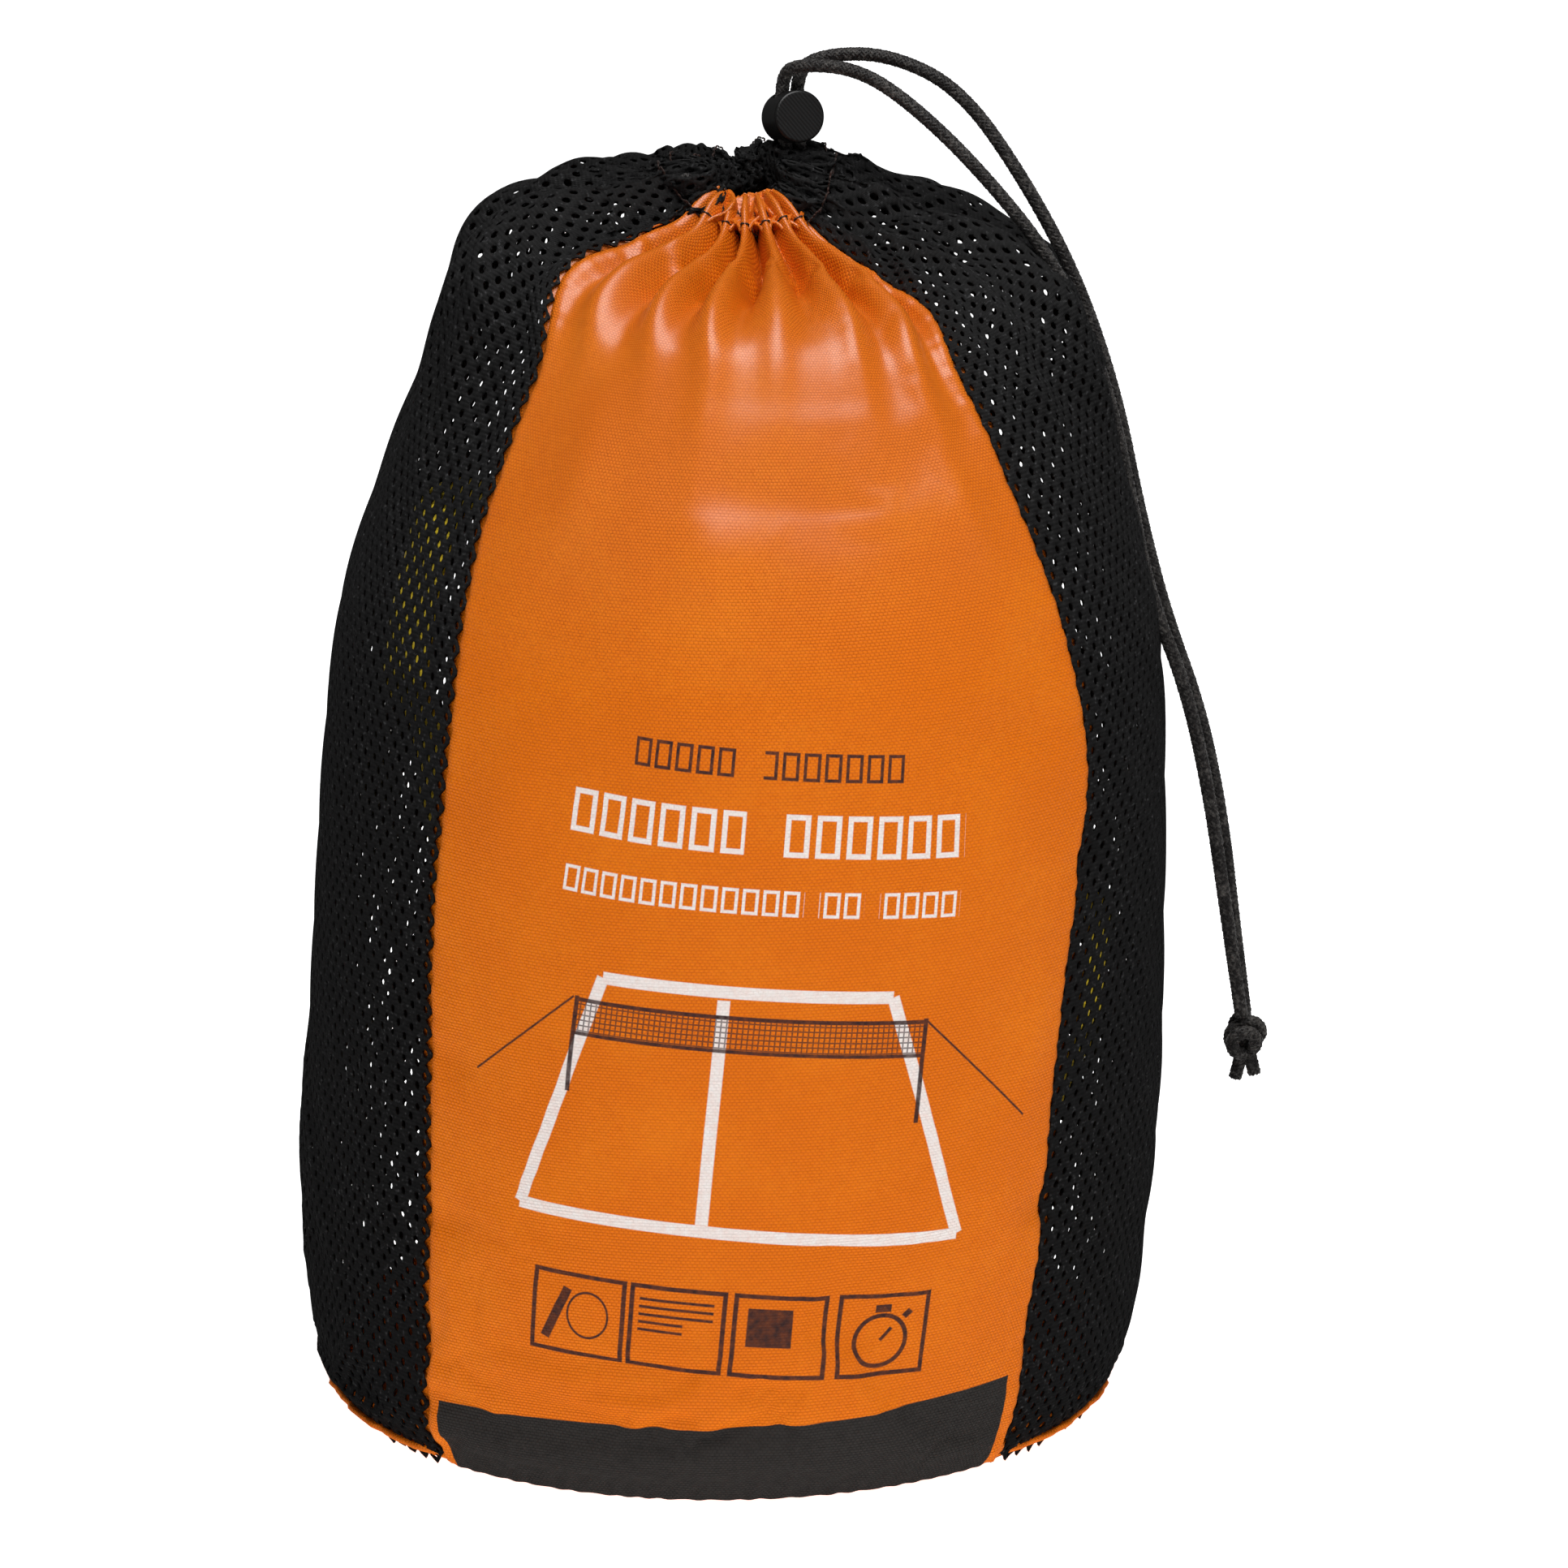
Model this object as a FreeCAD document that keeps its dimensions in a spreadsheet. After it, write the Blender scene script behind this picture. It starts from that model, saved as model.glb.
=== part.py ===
import FreeCAD, Part
import math
import os
import Sketcher

# A gathered mesh ball bag: an orange woven front panel, a black knitted wrap round the sides and back,
# a round base, a drawcord tunnel at the mouth, and a cord lock that holds the mouth shut.
# Millimetres, +Z up, the bag stands on z = 0 with its front towards -Y.

DIMENSIONS = {
    # the bag's outer surface, from the base seam up to the mouth
    "foot_radius": 88.0, "base_seam_radius": 96.5, "base_seam_height": 5.0,
    "waist_radius": 98.5, "waist_height": 195.0, "belly_arc": 697.0,
    "shoulder_radius": 79.5, "shoulder_height": 275.0, "flank_arc": 400.0,
    "crown_radius": 50.0, "crown_height": 298.0, "shoulder_arc": 34.5,
    "dome_top": 303.5, "dome_arc": 170.0, "base_corner_arc": 9.5,
    # cloth, seams and thread
    "cloth": 1.2, "allowance_cloth": 0.8, "allowance_width": 6.0, "thread": 0.4, "seam_gap": 0.05,
    # the drawcord tunnel round the mouth
    "mouth_offset": 5.0, "mouth_radius": 8.0, "tunnel_width": 12.0, "tunnel_depth": 6.0,
    "tunnel_top": 304.5, "cord_diameter": 3.5, "cord_clearance": 0.3,
    # the cord lock, in its own frame: z along the barrel, y along the cords
    "barrel_radius": 6.3, "barrel_wall": 1.2, "end_wall": 1.0, "plunger_fit": 0.15,
    "plunger_travel": 1.6, "plunger_web": 1.0, "spring_solid": 1.2, "spring_wire": 0.5,
    "button_stand": 0.4, "cord_spacing": 3.8,
    "lock_x": 17.25, "lock_y": 8.8, "lock_z": 316.6,
    # the knot that joins the two ends of the drawcord
    "knot_radius": 6.2, "knot_x": 128.2, "knot_y": -8.2, "knot_z": 91.5,
    "cut_end": 4.0,
    # the folded webbing lines that the bag carries
    "webbing": 1.5, "left_webbing_width": 20.0, "right_webbing_width": 9.0,
    "webbing_gap": 0.5,
}
PANEL_SWEEP = 90.0          # degrees of the bag that the front panel covers
PANEL_AZIMUTH = -87.4       # where its middle faces, degrees from +X towards +Y
LOCK_TURN = 21.0            # degrees that the lock's face turns towards +X
LOCK_TILT = 14.0            # degrees that the lock's face looks up
CORD_EXIT_AZIMUTH = 20.0    # where the cord leaves its tunnel, degrees round the mouth
CORD_EXIT_HALF = 43.0       # half of the stretch that the cord leaves open there
LEFT_WEBBING_AZIMUTH = 212.0
RIGHT_WEBBING_AZIMUTH = -35.0

# Routes of the two ends of the drawcord, from the tunnel through the lock to the knot.
TAIL_A = [(11.36, 12.47, 301.5), (16.6, 9.9, 301.6), (20.1, 6.7, 305.2), (18.1, 11.85, 326.8),
          (25.0, 13.2, 331.0), (41.0, 12.0, 331.4), (58.0, 9.0, 323.5), (73.0, 6.0, 302.5),
          (86.0, 3.0, 278.5), (95.5, 0.5, 250.5), (101.0, -1.5, 223.0), (107.5, -3.0, 197.5),
          (116.5, -4.5, 173.0), (122.0, -5.5, 146.0), (125.0, -6.5, 120.0), (128.0, -6.4, 97.0)]
TAIL_B = [(17.89, -5.47, 301.5), (19.3, -1.4, 301.7), (16.55, 5.35, 305.2), (14.55, 10.5, 326.8),
          (20.5, 6.4, 330.2), (33.5, 3.2, 329.6), (46.0, 0.2, 322.0), (62.5, -3.0, 306.5),
          (80.5, -6.0, 284.5), (92.5, -8.0, 257.0), (98.5, -9.5, 229.5), (103.5, -10.5, 203.5),
          (112.5, -11.0, 181.0), (118.5, -11.0, 154.0), (122.5, -11.0, 127.0), (127.0, -10.0, 97.2)]
ARC_SHARE = 0.45            # part of the shorter run that each bend of a cord takes up

document = FreeCAD.newDocument("mesh_ball_bag")
sheet = document.addObject("Spreadsheet::Sheet", "Dimensions")
for row, (alias, number) in enumerate(DIMENSIONS.items(), start=1):
    sheet.set(f"A{row}", alias)
    sheet.set(f"B{row}", str(number))
    sheet.setAlias(f"B{row}", alias)
document.recompute()
NODES = []


class Size:
    """A length with the sheet expression that drives it, so that one sum gives both."""

    def __init__(self, value, text):
        self.value = value
        self.text = text

    def joined(self, other, sign, value):
        return Size(value, f"({self.text} {sign} {as_size(other).text})")

    def __add__(self, other):
        return self.joined(other, "+", self.value + as_size(other).value)

    def __sub__(self, other):
        return self.joined(other, "-", self.value - as_size(other).value)

    def __mul__(self, other):
        return self.joined(other, "*", self.value * as_size(other).value)

    def __truediv__(self, other):
        return self.joined(other, "/", self.value / as_size(other).value)

    def __neg__(self):
        return self * -1.0


def as_size(number):
    return number if isinstance(number, Size) else Size(float(number), f"({float(number)!r})")


def dim(alias):
    return Size(float(getattr(sheet, alias)), f"Dimensions.{alias}")


def new_body(name, place=(0.0, 0.0, 0.0), rotation=None):
    """A sub-part whose origin is bound to the sheet and whose frame is turned by rotation."""
    body = document.addObject("PartDesign::Body", name)
    body.Label = name
    body.Placement = FreeCAD.Placement(FreeCAD.Vector(0, 0, 0), rotation or FreeCAD.Rotation())
    for axis, distance in zip("xyz", place):
        body.setExpression(f"Placement.Base.{axis}", as_size(distance).text)
    NODES.append(body)
    return body


def spun(azimuth):
    return FreeCAD.Rotation(FreeCAD.Vector(0, 0, 1), azimuth)


def new_sketch(body, name, role, height=0.0, turn=0.0):
    """An empty sketch on one of the body's own planes, lifted off it by height and turned in it."""
    sketch = body.newObject("Sketcher::SketchObject", name)
    plane = [item for item in body.Origin.OriginFeatures if item.Role == role][0]
    sketch.AttachmentSupport = [(plane, "")]
    sketch.MapMode = "FlatFace"
    sketch.AttachmentOffset = FreeCAD.Placement(FreeCAD.Vector(0, 0, 0), spun(turn))
    sketch.setExpression("AttachmentOffset.Base.z", as_size(height).text)
    return sketch


def bind(sketch, constraint, size):
    index = sketch.addConstraint(constraint)
    sketch.setExpression(f"Constraints[{index}]", size.text)


def pin_point(sketch, item, end, x, y):
    """Holds one end of a sketch line or arc at x, y from the sketch's origin."""
    bind(sketch, Sketcher.Constraint("DistanceX", -1, 1, item, end, x.value), x)
    bind(sketch, Sketcher.Constraint("DistanceY", -1, 1, item, end, y.value), y)


def bowed(start, end, radius):
    """The minor arc from start to end that turns anticlockwise, or clockwise for a negative radius."""
    chord = end - start
    middle = start + chord * 0.5
    side = FreeCAD.Vector(-chord.y, chord.x, 0).normalize()
    rise = math.sqrt(radius * radius - chord.Length * chord.Length / 4)
    centre = middle + side * math.copysign(rise, radius)
    outward = middle - centre
    top = centre + outward.normalize() * abs(radius)
    return Part.Arc(start, top, end)


def outline(sketch, points, arcs):
    """A closed outline through points; arcs gives the radius of each side that is not straight."""
    points = [(as_size(x), as_size(y)) for x, y in points]
    places = [FreeCAD.Vector(x.value, y.value, 0) for x, y in points]
    first = sketch.GeometryCount
    count = len(places)
    for number in range(count):
        start, end = places[number], places[(number + 1) % count]
        if number in arcs:
            sketch.addGeometry(bowed(start, end, as_size(arcs[number]).value))
        else:
            sketch.addGeometry(Part.LineSegment(start, end))
    ends = []
    for number in range(count):
        item = first + number
        swapped = (sketch.getPoint(item, 1) - places[number]).Length > 1e-6
        ends.append((2, 1) if swapped else (1, 2))
    for number in range(count):
        item, following = first + number, first + (number + 1) % count
        sketch.addConstraint(Sketcher.Constraint("Coincident", item, ends[number][1],
                                                 following, ends[(number + 1) % count][0]))
        pin_point(sketch, item, ends[number][0], *points[number])
        if number in arcs:
            radius = as_size(arcs[number])
            radius = -radius if radius.value < 0 else radius
            bind(sketch, Sketcher.Constraint("Radius", item, radius.value), radius)


def ring(sketch, x, y, radius):
    """A full circle in a sketch."""
    x, y, radius = as_size(x), as_size(y), as_size(radius)
    circle = Part.Circle(FreeCAD.Vector(x.value, y.value, 0), FreeCAD.Vector(0, 0, 1), radius.value)
    item = sketch.addGeometry(circle)
    pin_point(sketch, item, 3, x, y)
    bind(sketch, Sketcher.Constraint("Radius", item, radius.value), radius)


def revolved(body, sketch, sweep, kind="PartDesign::Revolution"):
    """Turns a sketch in the body's XZ plane about its Z axis, half of the sweep to each side."""
    feature = body.newObject(kind, kind.split("::")[1])
    feature.Profile = sketch
    feature.ReferenceAxis = (sketch, ["V_Axis"])
    feature.Midplane = True
    feature.Angle = sweep
    return feature


def padded(body, sketch, length, both_ways=False):
    pad = body.newObject("PartDesign::Pad", "Pad")
    pad.Profile = sketch
    pad.SideType = "Symmetric" if both_ways else "One side"
    pad.setExpression("Length", as_size(length).text)
    return pad


def pocketed(body, sketch, length, both_ways=False, towards_normal=False):
    """Cuts a sketch into the body and checks that something was cut away."""
    document.recompute()
    before = body.Shape.Volume
    pocket = body.newObject("PartDesign::Pocket", "Pocket")
    pocket.Profile = sketch
    pocket.SideType = "Symmetric" if both_ways else "One side"
    pocket.Reversed = towards_normal
    pocket.setExpression("Length", as_size(length).text)
    document.recompute()
    if not body.Shape.Volume < before - 0.01:
        raise ValueError(f"{body.Label}: the pocket cut nothing")
    return pocket


def surface(inset):
    """The bag's surface, inset mm under it, from the base seam up: its points and the arcs between them."""
    points = [
        (dim("base_seam_radius") - inset, dim("base_seam_height")),
        (dim("waist_radius") - inset, dim("waist_height") - inset * 0.1),
        (dim("shoulder_radius") - inset * 0.93, dim("shoulder_height") - inset * 0.37),
        (dim("crown_radius") - inset * 0.2, dim("crown_height") - inset * 0.98),
        (dim("mouth_radius") + 2.0, dim("dome_top") - inset),
    ]
    arcs = [dim("belly_arc") - inset, dim("flank_arc") - inset,
            dim("shoulder_arc") - inset, dim("dome_arc") - inset]
    return points, arcs


def wall(name, outer, inner, sweep, azimuth):
    """A sector of the bag's wall between two insets, cut round where the mouth's tunnel sits."""
    body = new_body(name, rotation=spun(azimuth))
    sketch = new_sketch(body, "WallOutline", "XZ_Plane")
    up, up_arcs = surface(outer)
    down, down_arcs = surface(inner)
    arcs = {number: radius for number, radius in enumerate(up_arcs)}
    arcs.update({5 + number: -radius for number, radius in enumerate(reversed(down_arcs))})
    outline(sketch, up + down[::-1], arcs)
    revolved(body, sketch, sweep)
    hole = new_sketch(body, "TunnelSeat", "XY_Plane", dim("crown_height") - 10.0, -azimuth)
    ring(hole, dim("mouth_offset"), 0.0, dim("mouth_radius") + dim("tunnel_width"))
    pocketed(body, hole, 40.0, towards_normal=True)
    return body


def allowance_angle():
    return math.degrees(dim("allowance_width").value / dim("waist_radius").value)


def panels():
    """The two cloth panels, the allowances folded behind their seams, and the thread in them."""
    cloth = dim("cloth")
    behind = cloth + dim("allowance_cloth")
    wall("front_panel", as_size(0.0), cloth, PANEL_SWEEP, PANEL_AZIMUTH)
    wall("mesh_body", as_size(0.0), cloth, 360.0 - PANEL_SWEEP, PANEL_AZIMUTH + 180.0)
    strip = allowance_angle()
    for side, sign in (("left", -1.0), ("right", 1.0)):
        seam = PANEL_AZIMUTH + sign * PANEL_SWEEP / 2
        wall(f"{side}_seam_allowance", cloth, behind, strip, seam + sign * strip / 2)
        wall(f"{side}_seam_thread", behind, behind + dim("thread"), strip / 10, seam + sign * strip / 4)


def base_panel():
    """The round base: flat where it stands, rising at its edge to the seam with the walls."""
    body = new_body("base_panel")
    sketch = new_sketch(body, "BaseOutline", "XZ_Plane")
    cloth, seam = dim("cloth"), dim("base_seam_height")
    points = [(0.0, 0.0), (dim("foot_radius"), 0.0), (dim("base_seam_radius"), seam),
              (dim("base_seam_radius") - cloth * 2, seam), (dim("foot_radius"), cloth), (0.0, cloth)]
    outline(sketch, points, {1: dim("base_corner_arc"), 3: -(dim("base_corner_arc") - cloth)})
    revolved(body, sketch, 360.0)


def base_allowance():
    """The cut edges of the base seam, folded up inside the bag, and the row of thread through them."""
    inner_wall = (dim("base_seam_radius") - dim("cloth") - dim("allowance_cloth")
                  - dim("thread") - dim("seam_gap"))
    for name, outer, thickness, low, tall in (
            ("base_seam_allowance", inner_wall, dim("cloth"), 0.0, dim("allowance_width")),
            ("base_seam_thread", inner_wall - dim("cloth"), dim("thread"), 3.0, dim("thread") * 1.5)):
        body = new_body(name)
        sketch = new_sketch(body, "RingOutline", "XZ_Plane")
        bottom = dim("base_seam_height") + low
        outline(sketch, [(outer - thickness, bottom), (outer, bottom),
                         (outer, bottom + tall), (outer - thickness, bottom + tall)], {})
        revolved(body, sketch, 360.0)


def tunnel_centre():
    radius = dim("mouth_radius") + dim("tunnel_width") / 2
    return radius, dim("tunnel_top") - dim("tunnel_depth") / 2


def tunnel(name, sweep, azimuth):
    """A stretch of the folded hem round the mouth, with the cord's channel through it."""
    body = new_body(name, (dim("mouth_offset"), 0.0, 0.0), spun(azimuth))
    sketch = new_sketch(body, "HemOutline", "XZ_Plane")
    inner, outer = dim("mouth_radius"), dim("mouth_radius") + dim("tunnel_width")
    top, bottom = dim("tunnel_top"), dim("tunnel_top") - dim("tunnel_depth")
    bend = dim("tunnel_depth") / 2
    outline(sketch, [(inner + bend, bottom), (outer, bottom), (outer, top), (inner + bend, top)],
            {3: bend + 0.001})
    ring(sketch, *tunnel_centre(), dim("cord_diameter") / 2 + dim("cord_clearance"))
    revolved(body, sketch, sweep)
    return body


def tunnels():
    """Both hems, the opening where the cord comes out of the mesh one, and the row of thread."""
    tunnel("front_hem", PANEL_SWEEP, PANEL_AZIMUTH)
    body = tunnel("mesh_hem", 360.0 - PANEL_SWEEP, PANEL_AZIMUTH + 180.0)
    radius, height = tunnel_centre()
    slot = new_sketch(body, "CordExit", "XY_Plane", height, CORD_EXIT_AZIMUTH - PANEL_AZIMUTH - 180.0)
    half_width = dim("cord_diameter") + 0.4
    along = math.cos(math.radians(CORD_EXIT_HALF))
    across = math.sin(math.radians(CORD_EXIT_HALF))
    outside, inside = radius + half_width, radius - half_width
    outline(slot, [(inside * along, -(inside * across)), (outside * along, -(outside * across)),
                   (outside * along, outside * across), (inside * along, inside * across)],
            {1: outside, 3: -inside})
    pocketed(body, slot, dim("tunnel_depth"), towards_normal=True)

    thread = new_body("tunnel_thread", (dim("mouth_offset"), 0.0, 0.0), spun(CORD_EXIT_AZIMUTH + 180.0))
    sketch = new_sketch(thread, "ThreadOutline", "XZ_Plane")
    outer, top = dim("mouth_radius") + dim("tunnel_width") - 0.4, dim("tunnel_top")
    outline(sketch, [(outer - dim("thread"), top), (outer, top),
                     (outer, top + dim("thread")), (outer - dim("thread"), top + dim("thread"))], {})
    revolved(thread, sketch, 360.0 - 2 * CORD_EXIT_HALF)


def drawcord():
    """The stretch of cord inside the tunnel, as far as where its two ends come out."""
    body = new_body("drawcord", (dim("mouth_offset"), 0.0, 0.0), spun(CORD_EXIT_AZIMUTH + 180.0))
    sketch = new_sketch(body, "CordSection", "XZ_Plane")
    ring(sketch, *tunnel_centre(), dim("cord_diameter") / 2)
    revolved(body, sketch, 360.0 - 2 * CORD_EXIT_HALF)


def cord_tube(name, route):
    """A tube along a route of straight runs joined by tangent arcs; prints its bends and its length."""
    points = [FreeCAD.Vector(*point) for point in route]
    edges, radii, begin = [], [], points[0]
    for before, corner, after in zip(points, points[1:], points[2:]):
        back, ahead = before - corner, after - corner
        reach = ARC_SHARE * min(back.Length, ahead.Length)
        half_turn = (math.pi - back.getAngle(ahead)) / 2
        radii.append(reach / math.tan(half_turn))
        start = corner + FreeCAD.Vector(back).normalize() * reach
        end = corner + FreeCAD.Vector(ahead).normalize() * reach
        inward = (start + end) * 0.5 - corner
        to_centre = math.hypot(radii[-1], reach)
        middle = corner + inward.normalize() * (to_centre - radii[-1])
        edges.append(Part.LineSegment(begin, start).toShape())
        edges.append(Part.Arc(start, middle, end).toShape())
        begin = end
    edges.append(Part.LineSegment(begin, points[-1]).toShape())
    path = Part.Wire(edges)
    radius = dim("cord_diameter").value / 2
    section = Part.Wire(Part.Circle(points[0], points[1] - points[0], radius).toShape())
    tube = path.makePipeShell([section], True, False)
    expected = math.pi * radius * radius * path.Length
    if abs(tube.Volume - expected) > 0.01 * expected:
        raise ValueError(f"{name}: volume {tube.Volume:.1f}, not {expected:.1f}")
    print(name, "length", round(path.Length, 1), "bend radii", [round(value, 1) for value in radii])
    feature = document.addObject("Part::Feature", name)
    feature.Label = name
    feature.Shape = tube
    feature.Placement = FreeCAD.Placement()
    NODES.append(feature)


def bound_primitive(kind, name, sizes):
    feature = document.addObject(kind, name)
    for field, size in sizes.items():
        feature.setExpression(field, as_size(size).text)
    return feature


def end_knot():
    """The overhand knot that joins the two tails, with the two cut ends below it."""
    radius = dim("knot_radius")
    lump = bound_primitive("Part::Sphere", "KnotLump", {
        "Radius": radius, "Placement.Base.x": dim("knot_x"), "Placement.Base.y": dim("knot_y"),
        "Placement.Base.z": dim("knot_z")})
    ends = []
    for side, lean in ((-1.0, 12.0), (1.0, -8.0)):
        end = bound_primitive("Part::Cylinder", "CutEnd", {
            "Radius": dim("cord_diameter") / 2, "Height": radius + dim("cut_end"),
            "Placement.Base.x": dim("knot_x") + dim("cord_diameter") * 0.55 * side,
            "Placement.Base.y": dim("knot_y"), "Placement.Base.z": dim("knot_z")})
        end.Placement.Rotation = FreeCAD.Rotation(FreeCAD.Vector(0, 1, 0), 180.0 + lean)
        ends.append(end)
    knot = document.addObject("Part::MultiFuse", "end_knot")
    knot.Label = "end_knot"
    knot.Shapes = [lump] + ends
    NODES.append(knot)


def lock_place():
    return dim("lock_x"), dim("lock_y"), dim("lock_z")


def lock_rotation():
    tilt = FreeCAD.Rotation(FreeCAD.Vector(1, 0, 0), 90.0 - LOCK_TILT)
    return spun(LOCK_TURN).multiply(tilt)


def cord_opening(body, name, half_long, middle, half_clear):
    """The opening for the two cords, across the lock: two round ends and straight sides."""
    sketch = new_sketch(body, name, "XZ_Plane")
    low, high = middle - half_clear, middle + half_clear
    outline(sketch, [(-half_long, high), (-half_long, low), (half_long, low), (half_long, high)], {})
    pocketed(body, sketch, dim("barrel_radius") * 3.0, both_ways=True)


def lock_sizes():
    """Stations along the barrel, measured from the cords' middle."""
    half_hole = dim("cord_diameter") / 2 + dim("cord_clearance")
    front_of_plunger = half_hole + dim("plunger_web")
    end_wall = front_of_plunger + dim("plunger_travel") + dim("spring_solid")
    return half_hole, front_of_plunger, end_wall


def lock_barrel():
    """A cup with a closed, domed-edge front face, a cross hole for the cords and a bore from behind."""
    body = new_body("lock_barrel", lock_place(), lock_rotation())
    half_hole, _, end_wall = lock_sizes()
    rear = -(half_hole + dim("barrel_wall"))
    face = end_wall + dim("end_wall")
    sketch = new_sketch(body, "BarrelCircle", "XY_Plane", rear)
    ring(sketch, 0.0, 0.0, dim("barrel_radius"))
    pad = padded(body, sketch, face - rear)
    document.recompute()
    rims = [number for number, edge in enumerate(pad.Shape.Edges, start=1)
            if isinstance(edge.Curve, Part.Circle)]
    fillet = body.newObject("PartDesign::Fillet", "Fillet")
    fillet.Base = (pad, [f"Edge{number}" for number in rims])
    fillet.setExpression("Radius", (dim("end_wall") * 0.7).text)
    bore = new_sketch(body, "Bore", "XY_Plane", rear)
    ring(bore, 0.0, 0.0, dim("barrel_radius") - dim("barrel_wall"))
    pocketed(body, bore, end_wall - rear, towards_normal=True)
    half_long = dim("cord_spacing") / 2 + dim("cord_diameter") / 2 + dim("cord_clearance")
    cord_opening(body, "CordHole", half_long, as_size(0.0), half_hole)


def lock_plunger():
    """The sprung plunger: at rest its slot pinches the cords against the barrel's hole."""
    body = new_body("lock_plunger", lock_place(), lock_rotation())
    half_hole, front, _ = lock_sizes()
    travel = dim("plunger_travel")
    rear = -(half_hole + dim("barrel_wall") + travel + dim("button_stand"))
    sketch = new_sketch(body, "StemCircle", "XY_Plane", rear)
    ring(sketch, 0.0, 0.0, dim("barrel_radius") - dim("barrel_wall") - dim("plunger_fit"))
    padded(body, sketch, front - rear)
    half_long = dim("cord_spacing") / 2 + dim("cord_diameter") / 2 + dim("cord_clearance")
    cord_opening(body, "CordSlot", half_long, -(travel / 2), half_hole + travel / 2)


def lock_spring():
    """The compression spring between the plunger's front and the barrel's closed end."""
    body = new_body("lock_spring", lock_place(), lock_rotation())
    _, front, end_wall = lock_sizes()
    wire = dim("spring_wire")
    radius = dim("barrel_radius") - dim("barrel_wall") - wire * 2.0
    sketch = new_sketch(body, "WireSection", "XZ_Plane")
    ring(sketch, radius, front + wire / 2 + 0.05, wire / 2)
    helix = body.newObject("PartDesign::AdditiveHelix", "Coil")
    helix.Profile = sketch
    helix.ReferenceAxis = (sketch, ["V_Axis"])
    helix.Mode = "height-turns-angle"
    helix.Turns = 2.0
    helix.Angle = 0.0
    helix.Growth = 0.0
    helix.setExpression("Height", (end_wall - front - wire - 0.1).text)


def webbing(name, azimuth, width, route, bends):
    """A length of webbing folded over on itself inside the bag: straight legs joined by arcs."""
    body = new_body(name, rotation=spun(azimuth))
    sketch = new_sketch(body, "Fold", "XZ_Plane")
    outline(sketch, route, bends)
    padded(body, sketch, width, both_ways=True)


def webbing_lines():
    """The two folds of court line that press against the mesh from inside."""
    thick, floor = dim("webbing"), dim("cloth") + dim("webbing_gap")
    inner = dim("waist_radius") - dim("cloth") - dim("allowance_cloth") - dim("webbing_gap")
    webbing("left_webbing_line", LEFT_WEBBING_AZIMUTH, dim("left_webbing_width"), [
        (58.0, floor), (inner - 9.0, 212.0), (inner - 14.5, 241.0), (inner - 29.0, 236.0),
        (63.0, 120.0), (as_size(63.0) + thick, 120.0), (as_size(inner.value - 29.0) + thick, 234.5),
        (inner - 14.5 - thick, 238.0), (inner - 9.0 - thick, 212.0), (as_size(58.0) - thick, floor)],
        {2: 9.0, 6: -7.0})
    webbing("right_webbing_line", RIGHT_WEBBING_AZIMUTH, dim("right_webbing_width"), [
        (62.0, floor), (inner - 1.0, 116.0), (inner - 1.0, 140.0), (inner - 16.0, 146.0),
        (66.0, 60.0), (as_size(66.0) + thick, 60.0), (inner - 15.5, 143.0),
        (inner - 1.0 - thick, 138.5), (inner - 1.0 - thick, 117.0), (as_size(62.0) - thick, floor)],
        {2: 9.0, 6: -7.5})


def check_and_write():
    """Refuses a failed or broken sub-part, then writes each one under its own name."""
    document.recompute()
    for item in document.Objects:
        if "Invalid" in item.State or "Error" in item.State:
            raise ValueError(f"{item.Label} ({item.Name}) failed: {item.State}")
    os.makedirs("parts", exist_ok=True)
    for node in NODES:
        if node.Shape.isNull() or not node.Shape.isValid() or not node.Shape.Solids:
            raise ValueError(f"{node.Label} has no valid solid")
        node.Shape.exportStep(f"parts/{node.Label}.step")
        box = node.Shape.BoundBox
        print(f"{node.Label:24s} {node.Shape.Volume:10.1f} mm3  solids {len(node.Shape.Solids)}  "
              f"x {box.XMin:.1f}..{box.XMax:.1f} y {box.YMin:.1f}..{box.YMax:.1f} z {box.ZMin:.1f}..{box.ZMax:.1f}")


panels()
base_panel()
base_allowance()
tunnels()
drawcord()
cord_tube("cord_tail_a", TAIL_A)
cord_tube("cord_tail_b", TAIL_B)
end_knot()
lock_barrel()
lock_plunger()
lock_spring()
webbing_lines()
check_and_write()
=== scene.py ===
import math

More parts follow.
